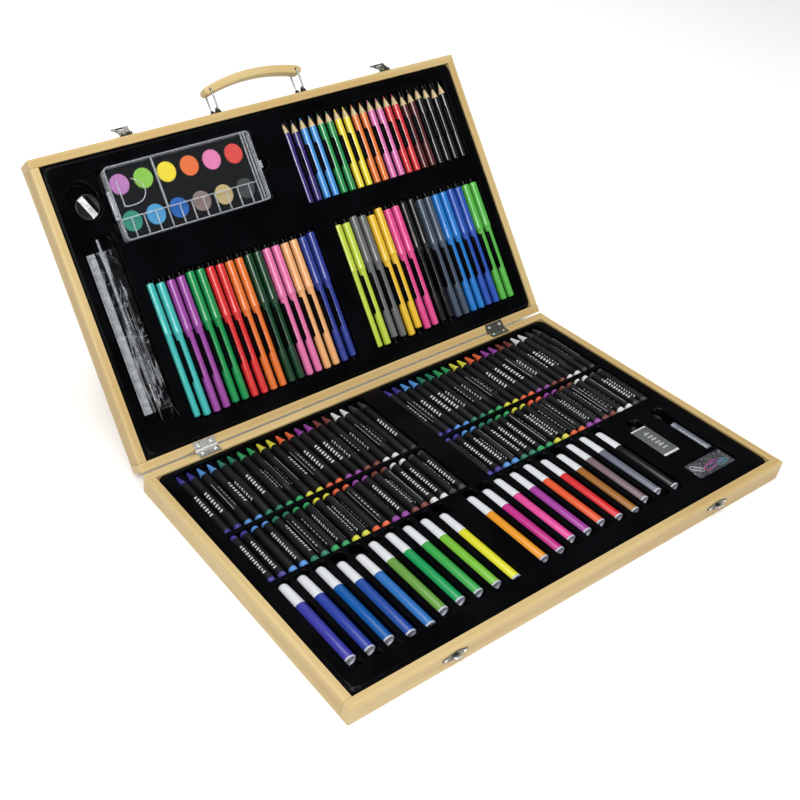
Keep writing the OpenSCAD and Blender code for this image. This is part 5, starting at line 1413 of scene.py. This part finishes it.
UP = Matrix.Rotation(math.radians(90), 4, "X")      # a plate's outline into the x-z plane, its thickness towards -y
for side, sx in (("left", -1), ("right", 1)):
    # lever
    lv = Acc()
    win = [(-4.0, 8.8), (4.0, 8.8), (4.0, 12.55), (-4.0, 12.55)]
    Vp, Fp = plate(flare_outline(), [win], 0.8, 0.18)
    lv.add(Vp, Fp, M=Matrix.Translation((0, 0.4, 0)) @ UP)
    lv.lathe((0, 0, 0), [(-4, 0.78), (-4, 1.15), (-3.85, 1.3), (3.85, 1.3), (4, 1.15), (4, 0.78), (-4, 0.78)], 24, axis="z")
    nv = lv.v[-7:]
    for a in nv:
        a[:] = a[:, [2, 0, 1]]
    Vp, Fp = rbox((-4, -0.4, 0.6), (4, 0.4, 2.6), 0.15)
    lv.add(Vp, Fp)
    # two pressed ribs and a turned-out lip
    for q in (-1, 1):
        tube(lv, smooth_path([(q * 5.0, 0.45, 3.0), (q * 5.2, 0.5, 6.0), (q * 5.9, 0.5, 9.2), (q * 7.2, 0.45, 12.2)], 5), 0.42, 8)
    tube(lv, smooth_path([(-8.5, 0.8, 13.6), (-5, 0.95, 13.5), (0, 1.0, 13.45), (5, 0.95, 13.5), (8.5, 0.8, 13.6)], 5), 0.55, 10)
    M = LID @ T(FRONT + sx * LP_X, D + LP_OUT, LP_Z) @ RX(-LEVER_OPEN)
    lv.build("latch_lever_pressed_" + side, ["latch"], "latch_" + side, M, ("latch_lever_" + side,), "latch_metal")
    # plate with its ears and pin, on the lid's front rail
    pl = Acc()
    Vp, Fp = plate(leaf_outline(30, 9.6), [circle(-11.5, 0, 1.0, 20), circle(11.5, 0, 1.0, 20)], 0.8, 0.2)
    pl.add(Vp, Fp, M=UP)
    for q in (-1, 1):
        Vp, Fp = rbox((q * 5.4 - 1.1, -3.2, 3.4), (q * 5.4 + 1.1, -0.3, 5.6), 0.5, 3)
        pl.add(Vp, Fp)
    tube(pl, [(-6.9, -2.1, 4.4), (-3, -2.1, 4.4), (3, -2.1, 4.4), (6.9, -2.1, 4.4)], 0.7, 14)
    pl.f = [tuple(reversed(f)) for f in pl.f]
    V0 = np.concatenate(pl.v)
    V0[:, 1] *= -1
    pl.v = [V0]
    pl.build("latch_plate_pressed_" + side, ["latch"], "lid", LID @ T(FRONT + sx * LP_X, D, LP_Z - 4.4), ("latch_plate_" + side,), "latch_metal")
    # strike on the front rail
    st = Acc()
    Vp, Fp = plate(leaf_outline(27, 9.6), [circle(-10, 0, 1.0, 20), circle(10, 0, 1.0, 20)], 0.8, 0.2)
    st.add(Vp, Fp, M=UP)
    # the catch hook uses the brighter metal, a painted highlight standing in for light on its edges
    Vp, Fp = rbox((-3.45, -4.4, -0.7), (3.45, -0.6, 0.7), 0.3, 3)
    st.add(Vp, Fp, 1)
    Vp, Fp = rbox((-3.45, -4.4, -0.7), (3.45, -3.5, 1.9), 0.3, 3)
    st.add(Vp, Fp, 1)
    for q in (-1, 1):
        tube(st, smooth_path([(q * 4.6, -0.85, -2.6), (q * 4.0, -1.0, 0), (q * 4.6, -0.85, 2.6)], 5), 0.4, 8)
    st.build("strike_pressed_" + side, ["latch", "bright"], "base", T(FRONT + sx * LP_X, -D / 2, CATCH), ("strike_" + side,), "latch_metal")

sc = Acc()
for sx in (-1, 1):
    for q in (-10, 10):
        M = Matrix.Translation((FRONT + sx * LP_X + q, -D / 2 - 0.75, CATCH)) @ UP
        screw(sc, 0, 0, 0, 1.6, 0.55, M=M, slot=0.3 + q * 0.1 + sx)
sc.build("strike_screw_heads", ["bright"], "base", BASE, ("strike_screws",), "latch_metal")


def lid_front_screws(name, places, node, slot, mat, t):
    acc = Acc()
    for i, (x, z) in enumerate(places):
        M = Matrix.Translation((x, D + t - 0.05, z)) @ Matrix.Rotation(math.radians(-90), 4, "X")
        screw(acc, 0, 0, 0, 1.6, 0.55, M=M, slot=i * 0.7)
    return acc.build(name, [mat], "lid", LID, (node,), slot)


lid_front_screws("latch_screw_heads", [(FRONT + sx * LP_X + q, LP_Z - 4.4) for sx in (-1, 1) for q in (-11.5, 11.5)], "latch_screws", "latch_metal", "bright", 0.8)

# ------------------------------------------------------------------ handle
FOOT_X, EAR_H, MID, RISE, LEG = 53.0, 4.2, 11.0, 25.5, 7.2
for side, sx in (("left", -1), ("right", 1)):
    ft = Acc()
    Vp, Fp = plate([(x, y) for x, y in leaf_outline(30, 12.6)], [circle(-11, 0, 1.05, 20), circle(11, 0, 1.05, 20)], 1.0, 0.22)
    ft.add(Vp, Fp, M=Matrix.Rotation(math.radians(-90), 4, "X"))
    for q in (-1, 1):
        ear = [(-4.6, 0.6), (4.6, 0.6), (3.2, 2.6), (2.2, 5.2), (1.2, 6.4), (0, 6.7), (-1.2, 6.4), (-2.2, 5.2), (-3.2, 2.6)]
        Vp, Fp = plate(ear, [circle(0, EAR_H, 1.0, 16)], 1.0, 0.2)
        ft.add(Vp, Fp, M=Matrix.Translation((0, 0, q * 5.3 - 0.5)))
    ft.build("handle_foot_pressed_" + side, ["darkmetal"], "lid", LID @ T(FRONT + sx * FOOT_X, D, MID), ("handle_foot_" + side,), "foot_metal")
    wr = Acc()
    path = [(0, EAR_H, LEG - 2.8), (0, EAR_H, LEG - 0.8), (0, EAR_H + 0.25, LEG - 0.2), (0, EAR_H + 0.9, LEG), (0, 12, LEG), (0, RISE - 1.0, LEG), (0, RISE - 0.3, LEG - 0.2), (0, RISE, LEG - 0.9),
            (0, RISE, 0), (0, RISE, -LEG + 0.9), (0, RISE - 0.3, -LEG + 0.2), (0, RISE - 1.0, -LEG), (0, 12, -LEG), (0, EAR_H + 0.9, -LEG), (0, EAR_H + 0.25, -LEG + 0.2), (0, EAR_H, -LEG + 0.8), (0, EAR_H, -LEG + 2.8)]
    tube(wr, smooth_path(path, 3), 0.9, 16)
    wr.build("handle_wire_bent_" + side, ["wire"], "wire_" + side, LID @ T(FRONT + sx * FOOT_X, D, MID), ("handle_wire_" + side,), "wire_steel")
lid_front_screws("handle_screw_heads", [(FRONT + sx * FOOT_X + q, MID) for sx in (-1, 1) for q in (-11, 11)], "handle_screws", "foot_metal", "darkmetal", 1.0)

gp = Acc()
ARCH, GT, EX = 205.0, 9.0, FOOT_X + 2.2
CY = RISE - math.sqrt(ARCH ** 2 - FOOT_X ** 2)
ea = math.asin(EX / ARCH)
stations = []
for i in range(-4, 45):
    if i < 0:
        stations.append((-ea, (i + 4) / 4.0, -1))
    else:
        stations.append((-ea + 2 * ea * i / 44, 1.0, 0))
secn = 28


def section(k):
    """Rounded section of the grip: half height and half depth, at scale k."""
    pts = []
    for j in range(secn):
        a = 2 * math.pi * j / secn
        c, s = math.cos(a), math.sin(a)
        e = 0.34
        pts.append((math.copysign(abs(c) ** e, c) * GT / 2 * k, math.copysign(abs(s) ** e, s) * 5.95))
    return pts


rings = []
cap_steps = [(math.pi / 2 * q / 6) for q in range(0, 6)]
lst = []
for q in cap_steps:
    lst.append((-ea, -math.cos(q) * GT / 2, math.sin(q)))
for i in range(0, 41):
    lst.append((-ea + 2 * ea * i / 40, 0.0, 1.0))
for q in reversed(cap_steps):
    lst.append((ea, math.cos(q) * GT / 2, math.sin(q)))
for (a, shift, k) in lst:
    k = max(k, 0.02)
    depth = 1.0 if k > 0.5 else 0.86 + 0.28 * k
    tx, ty = math.cos(a), -math.sin(a)
    nx, ny = math.sin(a), math.cos(a)
    c = (ARCH * math.sin(a) + tx * shift, CY + ARCH * math.cos(a) + ty * shift)
    rings.append(gp.verts([(c[0] + nx * h, c[1] + ny * h, d * depth) for h, d in section(k)]))
for a, b in zip(rings, rings[1:]):
    for j in range(secn):
        gp.face([a + j, b + j, b + (j + 1) % secn, a + (j + 1) % secn])
gp.face([rings[0] + j for j in range(secn)])
gp.face([rings[-1] + j for j in reversed(range(secn))])
g_ob = gp.build("handle_grip_arched", ["grip"], "grip", LID @ T(FRONT, D, MID), ("handle_grip",), "grip_wood")
cut(g_ob, [cyl((q * FOOT_X, RISE, -8), "z", 1.25, 16) for q in (-1, 1)])

# ------------------------------------------------------------------ hinge screws
sc = Acc()
for sx in (-1, 1):
    for q in (-1, 1):
        screw(sc, sx * 190 + q * 7.38, D / 2 - 4.3, BASE_H + 0.45, 1.65, 0.42, slot=0.5 + q)
sc.build("hinge_screw_heads_base", ["bright"], "base", BASE, ("hinge_screws_base",), "hinge_steel")
sc = Acc()
for sx in (-1, 1):
    for q in (-1, 1):
        screw(sc, sx * 190 + q * 7.38, 4.3, LID_H + 0.45, 1.65, 0.42, slot=0.9 + q)
sc.build("hinge_screw_heads_lid", ["bright"], "lid", LID, ("hinge_screws_lid",), "hinge_steel")

# ------------------------------------------------------------------ CAD nodes that stay
KEEP = {
    "base_panel": "panel", "lid_panel": "panel_lid",
    "hinge_leaf_base_left": "nickel", "hinge_leaf_base_right": "nickel_shaded", "hinge_leaf_lid_left": "nickel", "hinge_leaf_lid_right": "nickel_shaded", "hinge_pins": "bright",
    "brush_handle": "clear_brush", "brush_ferrule": "alu", "brush_bristles": "bristle",
}
for n_, m_ in KEEP.items():
    o = NODES[n_]
    o.data.materials.clear()
    o.data.materials.append(MATS[m_])

# ------------------------------------------------------------------ stage, light, camera
me = bpy.data.meshes.new("floor")
me.from_pydata([(-6, -6, 0), (6, -6, 0), (6, 6, 0), (-6, 6, 0)], [], [(0, 1, 2, 3)])
me.materials.append(MATS["floor"])
floor = bpy.data.objects.new("floor", me)
floor.location.z = -0.0002
bpy.context.scene.collection.objects.link(floor)

world = bpy.data.worlds.new("studio")
bpy.context.scene.world = world
world.use_nodes = True
world.node_tree.nodes["Background"].inputs[0].default_value = (0.93, 0.96, 1.0, 1)
world.node_tree.nodes["Background"].inputs[1].default_value = 0.13


def area(name, loc, target, size, power, color=(1, 1, 1), sy=None):
    ld = bpy.data.lights.new(name, "AREA")
    ld.energy = power
    ld.color = color
    ld.size = size
    if sy:
        ld.shape = "RECTANGLE"
        ld.size_y = sy
    o = bpy.data.objects.new(name, ld)
    o.location = loc
    o.rotation_euler = (Vector(target) - Vector(loc)).to_track_quat("-Z", "Y").to_euler()
    bpy.context.scene.collection.objects.link(o)
    return o


area("key", (-1.6, -1.2, 2.3), (0, 0, 0.05), 1.5, 70, (1, 0.99, 0.97))
area("fill", (0.3, -2.7, 0.95), (0, 0, 0.1), 1.2, 20, (0.97, 0.98, 1.0))
area("top", (0.1, 0.2, 2.7), (0, 0.1, 0.1), 1.8, 46)
area("glint", (-1.5, -0.3, 1.7), (0, 0.05, 0.1), 0.22, 5)
area("back", (0.9, 3.4, 1.9), (0.9, 3.4, 0.0), 2.6, 60)

cam_d = bpy.data.cameras.new("camera")
cam = bpy.data.objects.new("camera", cam_d)
bpy.context.scene.collection.objects.link(cam)
right = Vector((0.845755, -0.533569, 0.001175))
down = Vector((-0.332738, -0.529139, -0.780575))
fwd = Vector((0.417113, 0.659784, -0.625061))
rot = Matrix((right, -down, -fwd)).transposed().to_4x4()
cam.matrix_world = Matrix.Translation((-0.602591, -0.484974, 0.664472)) @ rot
cam_d.sensor_width = 36.0
cam_d.lens = 1041.987 / 800.0 * 36.0
cam_d.shift_x = 0.252251
cam_d.shift_y = 0.025002
cam_d.clip_start = 0.02
bpy.context.scene.camera = cam
bpy.context.scene.view_settings.view_transform = "Standard"
